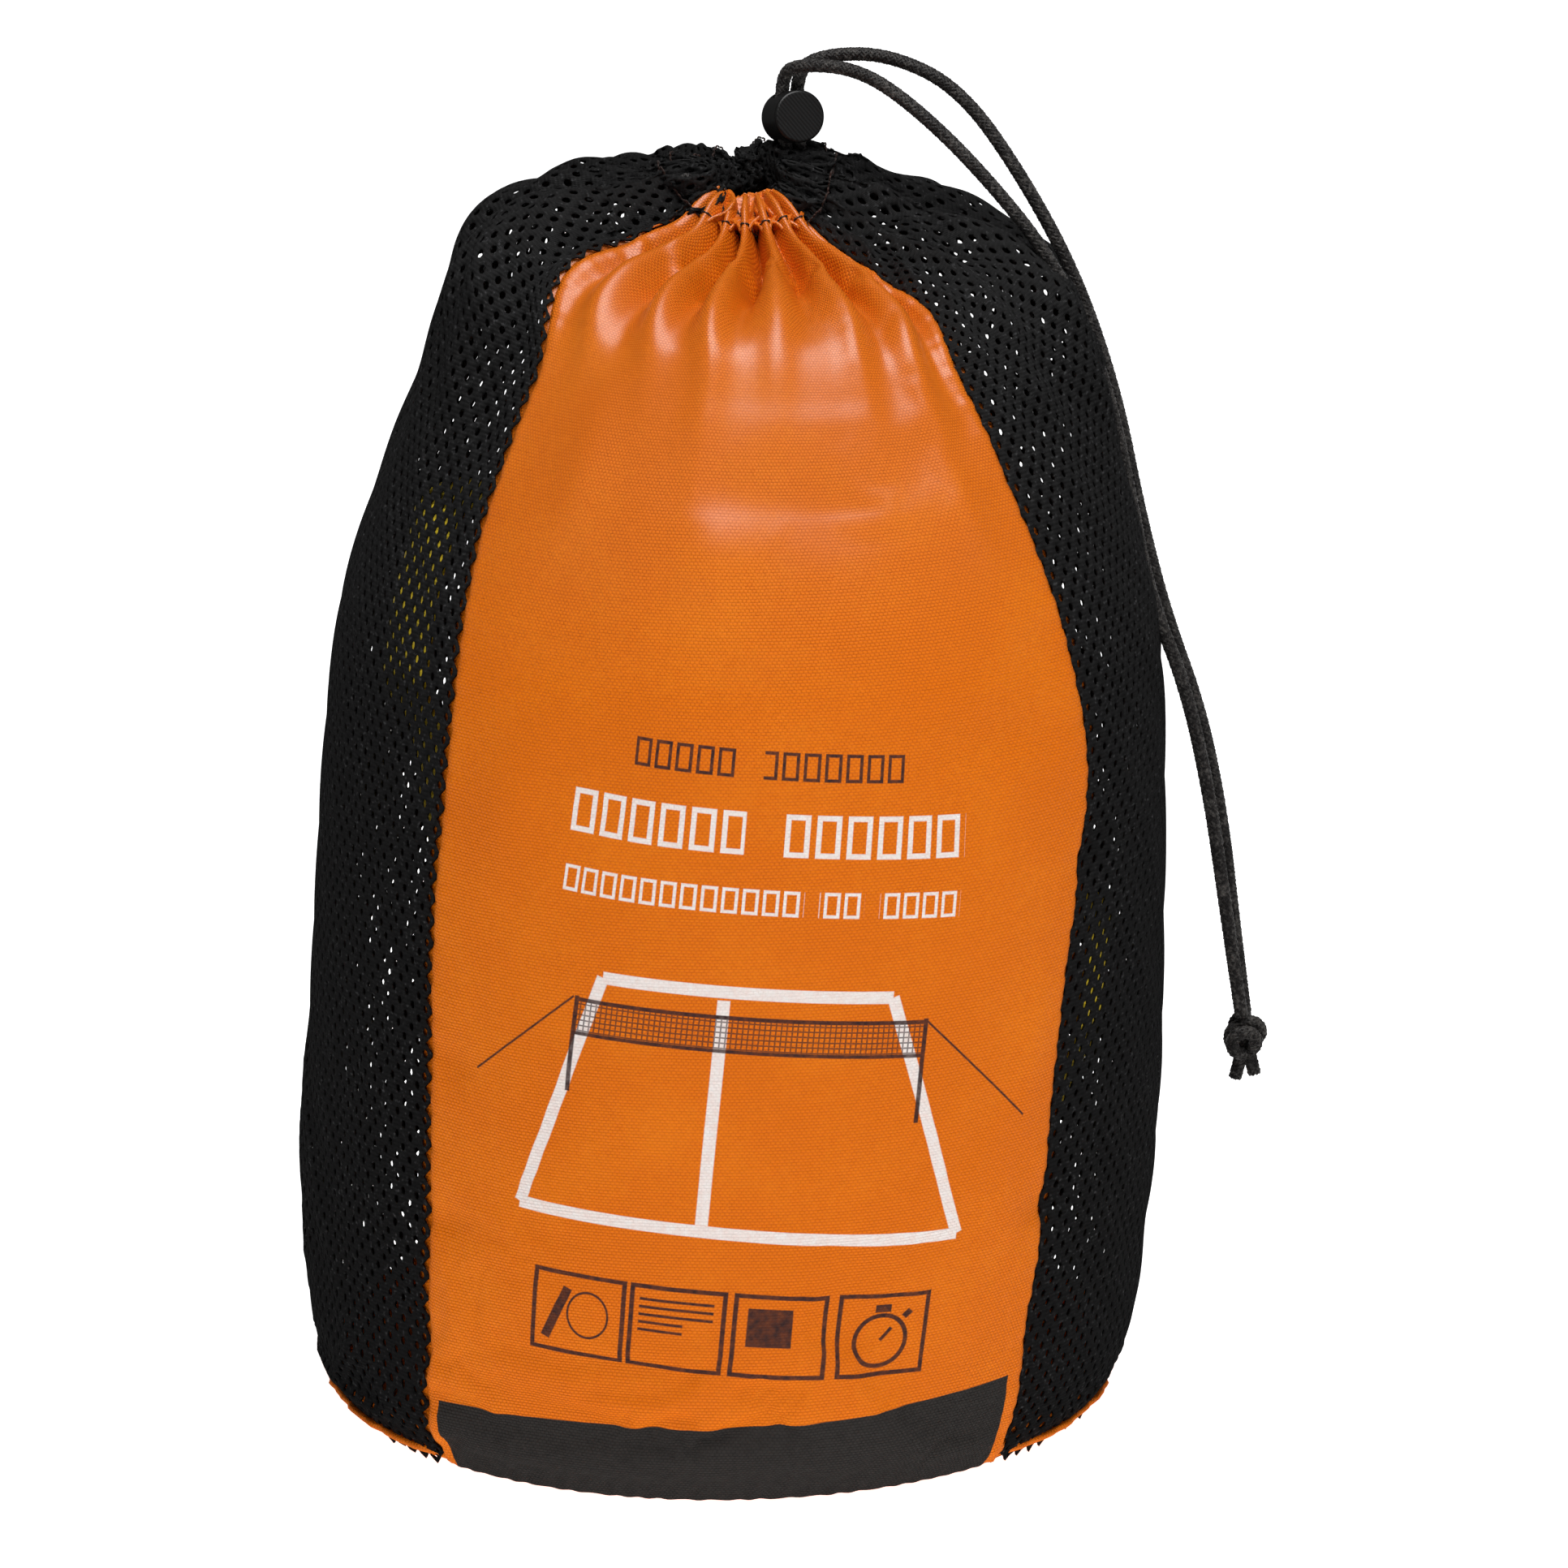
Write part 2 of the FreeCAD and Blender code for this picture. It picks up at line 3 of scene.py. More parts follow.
import bmesh
import bpy
import numpy as np
from bpy.props import FloatProperty, FloatVectorProperty, PointerProperty
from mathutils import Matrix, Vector


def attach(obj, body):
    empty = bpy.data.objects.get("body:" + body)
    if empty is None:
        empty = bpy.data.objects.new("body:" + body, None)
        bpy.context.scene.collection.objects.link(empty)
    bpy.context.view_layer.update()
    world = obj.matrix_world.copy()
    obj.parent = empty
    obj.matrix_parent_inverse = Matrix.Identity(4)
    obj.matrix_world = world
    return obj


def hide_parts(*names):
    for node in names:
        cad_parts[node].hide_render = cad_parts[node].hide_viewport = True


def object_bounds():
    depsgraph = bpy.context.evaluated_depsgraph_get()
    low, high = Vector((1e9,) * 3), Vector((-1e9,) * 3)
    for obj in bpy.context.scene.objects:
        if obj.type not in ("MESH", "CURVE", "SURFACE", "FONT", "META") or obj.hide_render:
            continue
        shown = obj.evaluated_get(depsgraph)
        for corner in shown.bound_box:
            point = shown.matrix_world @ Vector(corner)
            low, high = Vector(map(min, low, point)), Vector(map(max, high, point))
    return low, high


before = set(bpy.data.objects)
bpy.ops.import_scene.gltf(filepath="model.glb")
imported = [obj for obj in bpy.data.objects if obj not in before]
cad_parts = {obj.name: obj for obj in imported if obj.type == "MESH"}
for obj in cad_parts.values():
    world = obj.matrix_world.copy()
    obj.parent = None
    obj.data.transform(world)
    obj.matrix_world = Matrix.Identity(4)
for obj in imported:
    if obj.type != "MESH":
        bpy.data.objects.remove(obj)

CAD_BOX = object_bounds()

bl_info = {
    "name": "Mesh Ball Bag",
    "version": (1, 0, 0),
    "blender": (4, 5, 0),
    "location": "View3D > Sidebar > Ball Bag",
    "description": "Builds a gathered mesh ball bag round its packed frame",
    "category": "Add Mesh",
}

MM = 0.001
FULL_TURN = 2 * math.pi
FLOOR = CAD_BOX[0][2]

# ---------------------------------------------------------------------------
# The bag's shape, shared by every cloth piece
# ---------------------------------------------------------------------------

# How far the standing bag leans to +X, in millimetres, at heights in millimetres.
LEAN_MM = [(0, 0.0), (70, 2.5), (145, 6.4), (235, 9.5), (275, 11.2), (292, 8.6), (306, 6.6)]

# Radius and height from the base seam to the hem, in millimetres: the side of a full, standing bag.
PROFILE_MM = [(95.6, 5.0), (99.8, 12.0), (104.2, 42.0), (105.4, 90.0), (104.8, 130.0), (103.0, 166.0),
              (98.2, 205.0), (92.1, 227.0), (86.2, 246.0), (79.6, 268.0), (73.2, 283.0), (64.6, 291.5),
              (50.4, 297.0), (34.0, 299.5), (22.0, 301.6), (14.0, 303.6), (9.0, 303.6)]

# Where the side seams run, as degrees from the front at heights along the cloth in millimetres.
LEFT_SEAM = [(0, -43.7), (34, -43.0), (66, -42.8), (105, -43.8), (135, -44.8), (174, -45.0), (197, -45.4),
             (231, -47.8), (254, -48.6), (280, -48.8), (300, -52.0), (320, -51.0), (352, -50.0)]
RIGHT_SEAM = [(0, 45.0), (26, 45.0), (60, 46.8), (100, 47.0), (125, 48.0), (152, 50.4), (178, 51.6),
              (198, 49.6), (229, 46.6), (253, 43.5), (280, 42.0), (300, 47.0), (325, 49.0), (352, 50.0)]


def smooth_table(rows, wanted):
    """Smoothly interpolated values of a short table of (place, value) rows."""
    places = np.array([row[0] for row in rows], float)
    values = np.array([row[1] for row in rows], float)
    slopes = np.gradient(values, places)
    wanted = np.clip(wanted, places[0], places[-1])
    index = np.clip(np.searchsorted(places, wanted, side="right") - 1, 0, len(places) - 2)
    width = places[index + 1] - places[index]
    part = (wanted - places[index]) / width
    low, high = values[index], values[index + 1]
    rise_low, rise_high = slopes[index] * width, slopes[index + 1] * width
    return (low * (2 * part**3 - 3 * part**2 + 1) + rise_low * (part**3 - 2 * part**2 + part)
            + high * (3 * part**2 - 2 * part**3) + rise_high * (part**3 - part**2))


def eased(value):
    """0 to 1 with soft ends."""
    value = np.clip(value, 0.0, 1.0)
    return value * value * (3 - 2 * value)


PROFILE = np.array(PROFILE_MM) * MM
PROFILE_STEPS = np.hypot(*np.diff(PROFILE, axis=0).T)
PROFILE_ARC = np.concatenate([[0.0], np.cumsum(PROFILE_STEPS)])
CLOTH_HEIGHT = float(PROFILE_ARC[-1])       # from the base seam to the hem's edge
FLAT_RADIUS = 0.1035                        # the cut cloth, rolled into a tube
LEFT_CUT = math.radians(-44.0)              # the front panel's edges on that tube
RIGHT_CUT = math.radians(47.0)


def profile_at(height):
    """Radius and height of the side at a distance up the cloth."""
    radius = smooth_table(list(zip(PROFILE_ARC, PROFILE[:, 0])), height)
    level = smooth_table(list(zip(PROFILE_ARC, PROFILE[:, 1])), height)
    return radius, level


# How far the front sags below the profile and draws in, in millimetres, at heights along the cloth: it
# drops steeply from the hem, like the side of a cone.
FRONT_SAG = [(240, 0.0), (262, 1.5), (284, 5.5), (296, 8.0), (311, 8.5), (327, 8.2), (339, 6.6), (346, 3.4),
             (353, 1.8)]
FRONT_DRAW = [(212, 0.0), (236, 1.8), (262, 6.0), (284, 8.0), (300, 6.2), (318, 3.6), (339, 2.2), (346, 1.5),
              (353, 0.0)]


def side_at(height, azimuth):
    """Radius and height of the side, with the front's sag."""
    radius, level = profile_at(height)
    front = eased((math.radians(78.0) - np.abs(azimuth - math.radians(2.0))) / math.radians(36.0))
    radius = radius - smooth_table(FRONT_DRAW, height / MM) * front * MM
    level = level - smooth_table(FRONT_SAG, height / MM) * front * MM
    return radius, level


def lean_at(level):
    """How far the bag leans to +X at a height."""
    return smooth_table(LEAN_MM, level / MM) * MM


def azimuth_at(around, height):
    """Degrees round the bag, from the front, for an angle round the cut cloth."""
    left = np.radians(smooth_table(LEFT_SEAM, height / MM))
    right = np.radians(smooth_table(RIGHT_SEAM, height / MM))
    turn = 2 * math.pi
    around = np.mod(around - LEFT_CUT, turn) + LEFT_CUT
    panel = left + (around - LEFT_CUT) / (RIGHT_CUT - LEFT_CUT) * (right - left)
    rest = right + (around - RIGHT_CUT) / (turn - RIGHT_CUT + LEFT_CUT) * (turn - right + left)
    return np.where(around <= RIGHT_CUT, panel, rest)


def bump_on(distance, half_width):
    """A smooth hill: 1 in the middle, 0 past about twice its half width."""
    return np.exp(-(distance / half_width) ** 2)


# Pleats of the front panel: place across the cut cloth at the hem and at the lower end, height of the
# lower end, half width and depth, in millimetres. A negative depth is a ridge.
FRONT_PLEATS = [
    (-68, -74, 276, 7.0, 5.0), (-42, -47, 272, 8.5, 7.5), (-16, -22, 282, 8.0, 10.0),
    (10, -3, 282, 8.0, 10.0), (35, 27, 284, 7.5, 6.0), (57, 55, 278, 6.5, 6.5), (76, 79, 250, 6.0, 5.5),
    (-55, -61, 262, 6.5, -2.6), (-29, -33, 258, 6.5, -2.4), (-3, -13, 236, 7.0, -3.6),
    (22, 12, 254, 6.5, -2.6), (46, 44, 248, 6.5, -3.0), (67, 65, 222, 6.5, -3.4),
]

# Soft dents and puckers lower down: place across and up the cut cloth, half sizes, depth, in millimetres.
DENTS = [
    (-72, 105, 7, 5, 1.3), (-73, 66, 7, 5, 1.6), (84, 66, 7, 5, 1.8), (90, 150, 8, 6, 1.5),
    (-45, 215, 16, 26, 1.2), (40, 205, 22, 14, -1.0), (60, 185, 14, 7, 1.0), (-60, 170, 10, 14, -1.0),
    (-30, 30, 30, 9, -0.8), (35, 45, 22, 8, 0.7), (76, 110, 8, 16, -0.9), (5, 245, 20, 8, 1.1),
    (-48, 250, 9, 14, -1.4), (-8, 232, 10, 12, -1.2), (66, 238, 8, 12, -1.3), (28, 240, 12, 12, 1.3),
]


def pleat_offset(around, height):
    """How far the gathered cloth stands in or out of the plain side, in metres."""
    turn = 2 * math.pi
    around = np.mod(around + math.pi, turn) - math.pi
    across = around * FLAT_RADIUS / MM
    up = height / MM
    top = CLOTH_HEIGHT / MM
    offset = np.zeros_like(up)
    for at_hem, at_low, low, half_width, depth in FRONT_PLEATS:
        part = np.clip((up - low) / (top - low), 0.0, 1.0)
        middle = at_low + (at_hem - at_low) * part
        strength = np.clip(part * 1.9, 0, 1) ** 1.2
        offset -= depth * strength * bump_on(across - middle, half_width * (0.8 + 0.35 * part))
    for place, level, half_across, half_up, depth in DENTS:
        offset -= depth * bump_on(across - place, half_across) * bump_on(up - level, half_up)
    # the mesh gathers into more and finer pleats, all the way round
    gather = np.clip((up - 222.0) / (top - 222.0), 0.0, 1.0)
    from_front = np.minimum(np.abs(around - math.radians(3.0)), turn - np.abs(around - math.radians(3.0)))
    behind = np.clip((np.degrees(from_front) - 43.0) / 14.0, 0.0, 1.0)
    wave = np.zeros_like(up)
    for count, share, drift in ((15, 1.0, 0.3), (23, 0.75, 1.9), (37, 0.4, 4.2)):
        wave += share * np.sin(count * around + drift + 1.3 * np.sin(3 * around + drift))
    offset += behind * wave * 3.2 * gather**1.1
    # and bunches up into a collar behind the mouth
    back = np.clip((np.degrees(from_front) - 70.0) / 50.0, 0.0, 1.0)
    offset += back * 1.6 * bump_on(up - (top - 24.0), 13.0)
    # the cord lock sits in a bunched-up heap of it
    by_lock = bump_on(np.degrees(around) - 132.0, 38.0)
    offset += by_lock * 5.5 * bump_on(up - (top - 9.0), 11.0)
    # slow waves where the load inside pushes against the side
    load = np.sin(3 * around + 0.8 + up * 0.011) * np.sin(up * 0.021 + 0.6) + np.sin(5 * around - up * 0.017)
    offset += 0.75 * load * np.clip(up / 40.0, 0.0, 1.0)
    crumple = np.sin(19 * around + up * 0.11) * np.sin(up * 0.13 + 7 * around)
    offset += behind * (0.35 + 1.5 * gather) * crumple * np.clip(up / 30.0, 0.0, 1.0)
    return offset * MM


def bag_start(around, height):
    """Points of the gathered bag before the cloth settles; arrays in, array of x, y, z out."""
    azimuth = azimuth_at(around, height)
    azimuth = np.mod(azimuth + math.pi, 2 * math.pi) - math.pi
    radius, level = side_at(height, azimuth)
    step = 0.001
    radius_up, level_up = side_at(np.minimum(height + step, CLOTH_HEIGHT), azimuth)
    radius_down, level_down = side_at(np.maximum(height - step, 0.0), azimuth)
    along_r, along_z = radius_up - radius_down, level_up - level_down
    length = np.hypot(along_r, along_z)
    out_r, out_z = along_z / length, -along_r / length
    offset = pleat_offset(around, height)
    offset = np.where(height > CLOTH_HEIGHT - 0.02, offset * 0.85, offset)
    radius = radius + out_r * offset
    level = level + out_z * offset
    # the gathered top sits higher on the left and lower on the right
    level = level - np.sin(azimuth) * 3.8 * MM * bump_on(height / MM - (CLOTH_HEIGHT / MM - 45.0), 30.0)
    return np.stack([radius * np.sin(azimuth) + lean_at(level),
                     -radius * np.cos(azimuth), level], axis=-1)


SIM_COLUMNS = 240       # points round the bag while the cloth settles
SIM_ROWS = 132          # and from the base seam to the hem
SETTLE_FRAMES = 12
SETTLE_CAP = 0.0011     # the furthest that a point may move


def rolled_faces(rows, columns):
    """Faces of a tube of rows by columns points."""
    faces = []
    for row in range(rows - 1):
        for column in range(columns):
            ahead = (column + 1) % columns
            faces.append((row * columns + column, row * columns + ahead,
                          (row + 1) * columns + ahead, (row + 1) * columns + column))
    return faces


def settle_cloth():
    """Lets the gathered cloth settle for a few frames, grown a little and without gravity, its top and bottom
    pinned; no point moves further than SETTLE_CAP.
    """
    columns = np.arange(SIM_COLUMNS) * 2 * math.pi / SIM_COLUMNS + LEFT_CUT
    rows = np.linspace(0.0, CLOTH_HEIGHT, SIM_ROWS)
    around, height = np.meshgrid(columns, rows)
    start = bag_start(around, height)
    mesh = bpy.data.meshes.new("settling")
    mesh.from_pydata(start.reshape(-1, 3).tolist(), [], rolled_faces(SIM_ROWS, SIM_COLUMNS))
    obj = bpy.data.objects.new("settling", mesh)
    bpy.context.collection.objects.link(obj)
    pins = obj.vertex_groups.new(name="pins")
    weight = np.clip((height / MM - 322.0) / 12.0, 0.0, 1.0)
    weight = np.maximum(weight, np.clip(1.0 - height / MM / 8.0, 0.0, 1.0))
    for number, value in enumerate(weight.reshape(-1)):
        if value > 0:
            pins.add([number], float(value), "REPLACE")
    cloth = obj.modifiers.new("Cloth", "CLOTH")
    settings = cloth.settings
    settings.quality = 4
    settings.mass = 0.1
    settings.tension_stiffness = 15
    settings.compression_stiffness = 15
    settings.shear_stiffness = 6
    settings.bending_stiffness = 0.25
    settings.tension_damping = 1
    settings.compression_damping = 1
    settings.shear_damping = 1
    settings.bending_damping = 0.5
    settings.air_damping = 1
    settings.vertex_group_mass = "pins"
    settings.shrink_min = -0.02
    settings.effector_weights.gravity = 0.0
    cloth.point_cache.frame_start = 1
    cloth.point_cache.frame_end = SETTLE_FRAMES
    scene = bpy.context.scene
    for number in range(1, SETTLE_FRAMES + 1):
        scene.frame_set(number)
    depsgraph = bpy.context.evaluated_depsgraph_get()
    settled = obj.evaluated_get(depsgraph).to_mesh()
    found = np.empty(SIM_COLUMNS * SIM_ROWS * 3)
    settled.vertices.foreach_get("co", found)
    obj.evaluated_get(depsgraph).to_mesh_clear()
    scene.frame_set(1)
    bpy.data.objects.remove(obj)
    moved = found.reshape(start.shape) - start
    far = np.linalg.norm(moved, axis=-1, keepdims=True)
    return start + moved * np.minimum(1.0, SETTLE_CAP / np.maximum(far, 1e-9))


# ---------------------------------------------------------------------------
# The settled cloth, and pieces laid on it
# ---------------------------------------------------------------------------

def between(values, place, wrap):
    """Smooth reading between the rows of an array, at fractional places along its first axis."""
    count = len(values)
    low = np.floor(place).astype(int)
    part = (place - low)[..., None]
    picks = [low - 1, low, low + 1, low + 2]
    picks = [np.mod(pick, count) if wrap else np.clip(pick, 0, count - 1) for pick in picks]
    return picks, [((-part + 2) * part - 1) * part / 2, ((3 * part - 5) * part * part + 2) / 2,
                   ((-3 * part + 4) * part + 1) * part / 2, (part - 1) * part * part / 2]


class SettledCloth:
    """The settled bag, read smoothly at any place on the cut cloth."""

    def __init__(self, grid):
        self.grid = grid

    def surface(self, around, height):
        """Points of the cloth's outer face."""
        rows, columns = self.grid.shape[:2]
        inside = np.clip(height, 0.0, CLOTH_HEIGHT)
        turn = np.mod(around - LEFT_CUT, 2 * math.pi) / (2 * math.pi) * columns
        up = inside / CLOTH_HEIGHT * (rows - 1)
        row_picks, row_shares = between(self.grid, up, False)
        column_picks, column_shares = between(self.grid[0], turn, True)
        place = np.zeros(around.shape + (3,))
        for row, row_share in zip(row_picks, row_shares):
            for column, column_share in zip(column_picks, column_shares):
                place += self.grid[row, column] * row_share * column_share
        return place

    def points(self, around, height, lift=0.0):
        """Points above (or, negative, below) the outer face, carried on past the cloth's ends."""
        step = 0.0008
        inside = np.clip(height, step, CLOTH_HEIGHT - step)
        place = self.surface(around, inside)
        aside = step / FLAT_RADIUS
        across = self.surface(around + aside, inside) - self.surface(around - aside, inside)
        up = self.surface(around, inside + step) - self.surface(around, inside - step)
        up /= np.linalg.norm(up, axis=-1, keepdims=True)
        across -= up * np.sum(across * up, axis=-1, keepdims=True)
        across /= np.linalg.norm(across, axis=-1, keepdims=True)
        out = np.cross(across, up)
        past_end = up * (height - inside)[..., None]
        return place + past_end + out * np.broadcast_to(lift, height.shape)[..., None]


CLOTH = []


def cloth():
    """The settled cloth, worked out once."""
    if not CLOTH:
        CLOTH.append(SettledCloth(settle_cloth()))
    return CLOTH[0]


def shown(name, mesh, finish, body="bag", nodes=(), smooth=True):
    """Puts a finished mesh in the scene: its material, its body and what it stands for."""
    obj = bpy.data.objects.new(name, mesh)
    bpy.context.collection.objects.link(obj)
    mesh.materials.clear()
    mesh.materials.append(finish)
    mesh.polygons.foreach_set("use_smooth", [smooth] * len(mesh.polygons))
    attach(obj, body)
    if nodes:
        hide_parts(*nodes)
    return obj


def thicken(obj, thickness):
    """Gives a sheet its thickness, inwards."""
    modifier = obj.modifiers.new("thickness", "SOLIDIFY")
    modifier.thickness = thickness
    modifier.offset = -1.0
    return modifier


def corners_of(mesh):
    """A mesh's corner positions, as an array of x, y, z."""
    values = np.empty(len(mesh.vertices) * 3)
    mesh.vertices.foreach_get("co", values)
    return values.reshape(-1, 3)


def write_map(mesh, name, flat):
    """A UV map from a flat place for each corner, in metres."""
    index = np.empty(len(mesh.loops), int)
    mesh.loops.foreach_get("vertex_index", index)
    mesh.uv_layers.new(name=name).data.foreach_set("uv", flat[index].ravel())


def lay_on_cloth(mesh, around, height, lift=0.0):
    """Moves a mesh's corners onto the cloth and writes its flat places down as UV maps."""
    mesh.vertices.foreach_set("co", cloth().points(around, height, lift).ravel())
    across = (np.mod(around + math.pi, 2 * math.pi) - math.pi) * FLAT_RADIUS
    turned = azimuth_at(around, np.clip(height, 0.0, CLOTH_HEIGHT)) * FLAT_RADIUS
    write_map(mesh, "cloth", np.stack([np.where(around > math.pi, across + 2 * math.pi * FLAT_RADIUS, across),
                                       height], axis=-1))
    write_map(mesh, "print", np.stack([turned, height], axis=-1))
    mesh.update()


def flat_grid(name, across_steps, up_steps):
    """A square grid from 0 to 1 both ways, as a mesh and its places across and up."""
    bm = bmesh.new()
    bmesh.ops.create_grid(bm, x_segments=across_steps, y_segments=up_steps, size=0.5)
    mesh = bpy.data.meshes.new(name)
    bm.to_mesh(mesh)
    bm.free()
    places = corners_of(mesh) + 0.5
    return mesh, places[:, 0], places[:, 1]


# ---------------------------------------------------------------------------
# Materials
# ---------------------------------------------------------------------------

class Signal:
    """A number in a material. Sums and comparisons of signals add the nodes that work them out."""

    def __init__(self, finish, socket):
        self.finish = finish
        self.socket = socket

    def work(self, operation, *values):
        node = self.finish.add("ShaderNodeMath", {"operation": operation}, list(values))
        return Signal(self.finish, node.outputs[0])

    def __add__(self, other):
        return self.work("ADD", self, other)

    def __sub__(self, other):
        return self.work("SUBTRACT", self, other)

    def __mul__(self, other):
        return self.work("MULTIPLY", self, other)

    def __truediv__(self, other):
        return self.work("DIVIDE", self, other)

    def __radd__(self, other):
        return self.work("ADD", other, self)

    def __rsub__(self, other):
        return self.work("SUBTRACT", other, self)

    def __rmul__(self, other):
        return self.work("MULTIPLY", other, self)

    def __abs__(self):
        return self.work("ABSOLUTE", self)

    def most(self, other):
        return self.work("MAXIMUM", self, other)

    def least(self, other):
        return self.work("MINIMUM", self, other)

    def sine(self):
        return self.work("SINE", self)

    def root(self):
        return self.work("SQRT", self)

    def whole(self):
        return self.work("FLOOR", self)

    def part(self):
        return self.work("FRACT", self)

    def clamped(self):
        return self.most(0.0).least(1.0)


class Finish:
    """A material under construction: its nodes, and the shader that ends them."""

    def __init__(self, name, **constants):
        self.material = bpy.data.materials.new(name)
        self.material.use_nodes = True
        self.tree = self.material.node_tree
        self.tree.nodes.clear()
        self.output = self.add("ShaderNodeOutputMaterial")
        self.shader = self.add("ShaderNodeBsdfPrincipled")
        self.tree.links.new(self.shader.outputs[0], self.output.inputs["Surface"])
        for socket, value in constants.items():
            self.shader.inputs[socket.replace("_", " ")].default_value = value

    def add(self, kind, settings=None, inputs=None):
        """One node, with its settings, and its inputs by number or name."""
        node = self.tree.nodes.new(kind)
        for name, value in (settings or {}).items():
            setattr(node, name, value)
        if isinstance(inputs, list):
            inputs = dict(enumerate(inputs))
        for place, value in (inputs or {}).items():
            self.join(value, node.inputs[place])
        return node

    def join(self, value, socket):
        if isinstance(value, Signal):
            value = value.socket
        if isinstance(value, bpy.types.NodeSocket):
            self.tree.links.new(value, socket)
        else:
            socket.default_value = value

    def feed(self, name, value):
        """Runs a value into the shader."""
        self.join(value, self.shader.inputs[name])

    def flat(self, map_name):
        """The two flat places of a UV map, in millimetres."""
        uv = self.add("ShaderNodeUVMap", {"uv_map": map_name})
        split = self.add("ShaderNodeSeparateXYZ", inputs=[uv.outputs[0]])
        return Signal(self, split.outputs[0]) * 1000.0, Signal(self, split.outputs[1]) * 1000.0

    def object_place(self):
        """The three object coordinates, in millimetres."""
        place = self.add("ShaderNodeTexCoord").outputs["Object"]
        split = self.add("ShaderNodeSeparateXYZ", inputs=[place])
        return [Signal(self, socket) * 1000.0 for socket in split.outputs]

    def noise(self, scale, detail=2.0):
        """Cloudy noise from 0 to 1; its grain is 1/scale metres."""
        place = self.add("ShaderNodeTexCoord").outputs["Object"]
        return Signal(self, self.add("ShaderNodeTexNoise", inputs={
            "Vector": place, "Scale": scale, "Detail": detail}).outputs[0])

    def mixed(self, share, first, second):
        """A colour between two colours."""
        node = self.add("ShaderNodeMix", {"data_type": "RGBA"})
        self.join(share, node.inputs[0])
        for value, socket in ((first, node.inputs[6]), (second, node.inputs[7])):
            self.join((*value, 1.0) if isinstance(value, tuple) else value, socket)
        return node.outputs[2]

    def relief(self, height, depth):
        """Bumps of a depth in metres."""
        node = self.add("ShaderNodeBump", inputs={"Height": height, "Distance": depth})
        self.feed("Normal", node.outputs[0])


def even_bar(place, low, high, softness=0.25):
    """1 between two places, 0 outside them."""
    return ((high - low) / 2 - abs(place - (low + high) / 2)) / softness + 0.5


class Print:
    """Flat printed shapes, as signals that are 1 where the ink lies. Places are millimetres."""

    def __init__(self, across, up):
        self.across = across
        self.up = up

    def block(self, left, right, low, high):
        """A filled rectangle."""
        return even_bar(self.across, left, right).least(even_bar(self.up, low, high)).clamped()

    def frame(self, left, right, low, high, width):
        """A rectangle's outline."""
        inner = self.block(left + width, right - width, low + width, high - width)
        return (self.block(left, right, low, high) - inner).clamped()

    def stroke(self, start, end, width):
        """A straight line between two points."""
        run = (end[0] - start[0], end[1] - start[1])
        length = math.hypot(*run)
        along = ((self.across - start[0]) * run[0] + (self.up - start[1]) * run[1]) / length
        beside = ((self.up - start[1]) * run[0] - (self.across - start[0]) * run[1]) / length
        return even_bar(along, 0.0, length).least(even_bar(beside, -width / 2, width / 2)).clamped()

    def ring(self, middle, radius, width, squash_across=1.0):
        """A circle's line, or an oval one's."""
        across = (self.across - middle[0]) / squash_across
        up = self.up - middle[1]
        away = (across * across + up * up).root()
        return even_bar(away, radius - width / 2, radius + width / 2).clamped()

    def row(self, left, right, low, high, pitch, line, gaps):
        """A row of plain hollow boxes with wider gaps between its words."""
        place = ((self.across - left) / pitch).part() * pitch
        outer = even_bar(place, 0.0, pitch * 0.8, 0.2).least(even_bar(self.up, low, high)).clamped()
        inner = even_bar(place, line, pitch * 0.8 - line, 0.2).least(
            even_bar(self.up, low + line, high - line))
        boxes = (outer - inner.clamped()).clamped().least(even_bar(self.across, left, right).clamped())
        for start, end in gaps:
            boxes = (boxes - self.block(start, end, low - 1, high + 1)).clamped()
        return boxes


def together(shapes):
    """Where any of the shapes is."""
    total = shapes[0]
    for shape in shapes[1:]:
        total = total.most(shape)
    return total


def weave(across, up):
    """The relief of plain woven cloth: short floats laid like bricks, from 0 to 1."""
    row = up / 0.75
    shifted = across / 1.1 + row.whole() * 0.5
    return ((shifted.part() * math.pi).sine() * (row.part() * math.pi).sine()).root()


ORANGE = (0.80, 0.185, 0.004)
ORANGE_DEEP = (0.62, 0.110, 0.002)
ORANGE_PALE = (0.84, 0.225, 0.008)
WHITE_INK = (0.86, 0.80, 0.77)
DARK_INK = (0.045, 0.022, 0.021)
BAND_GREY = (0.045, 0.040, 0.037)


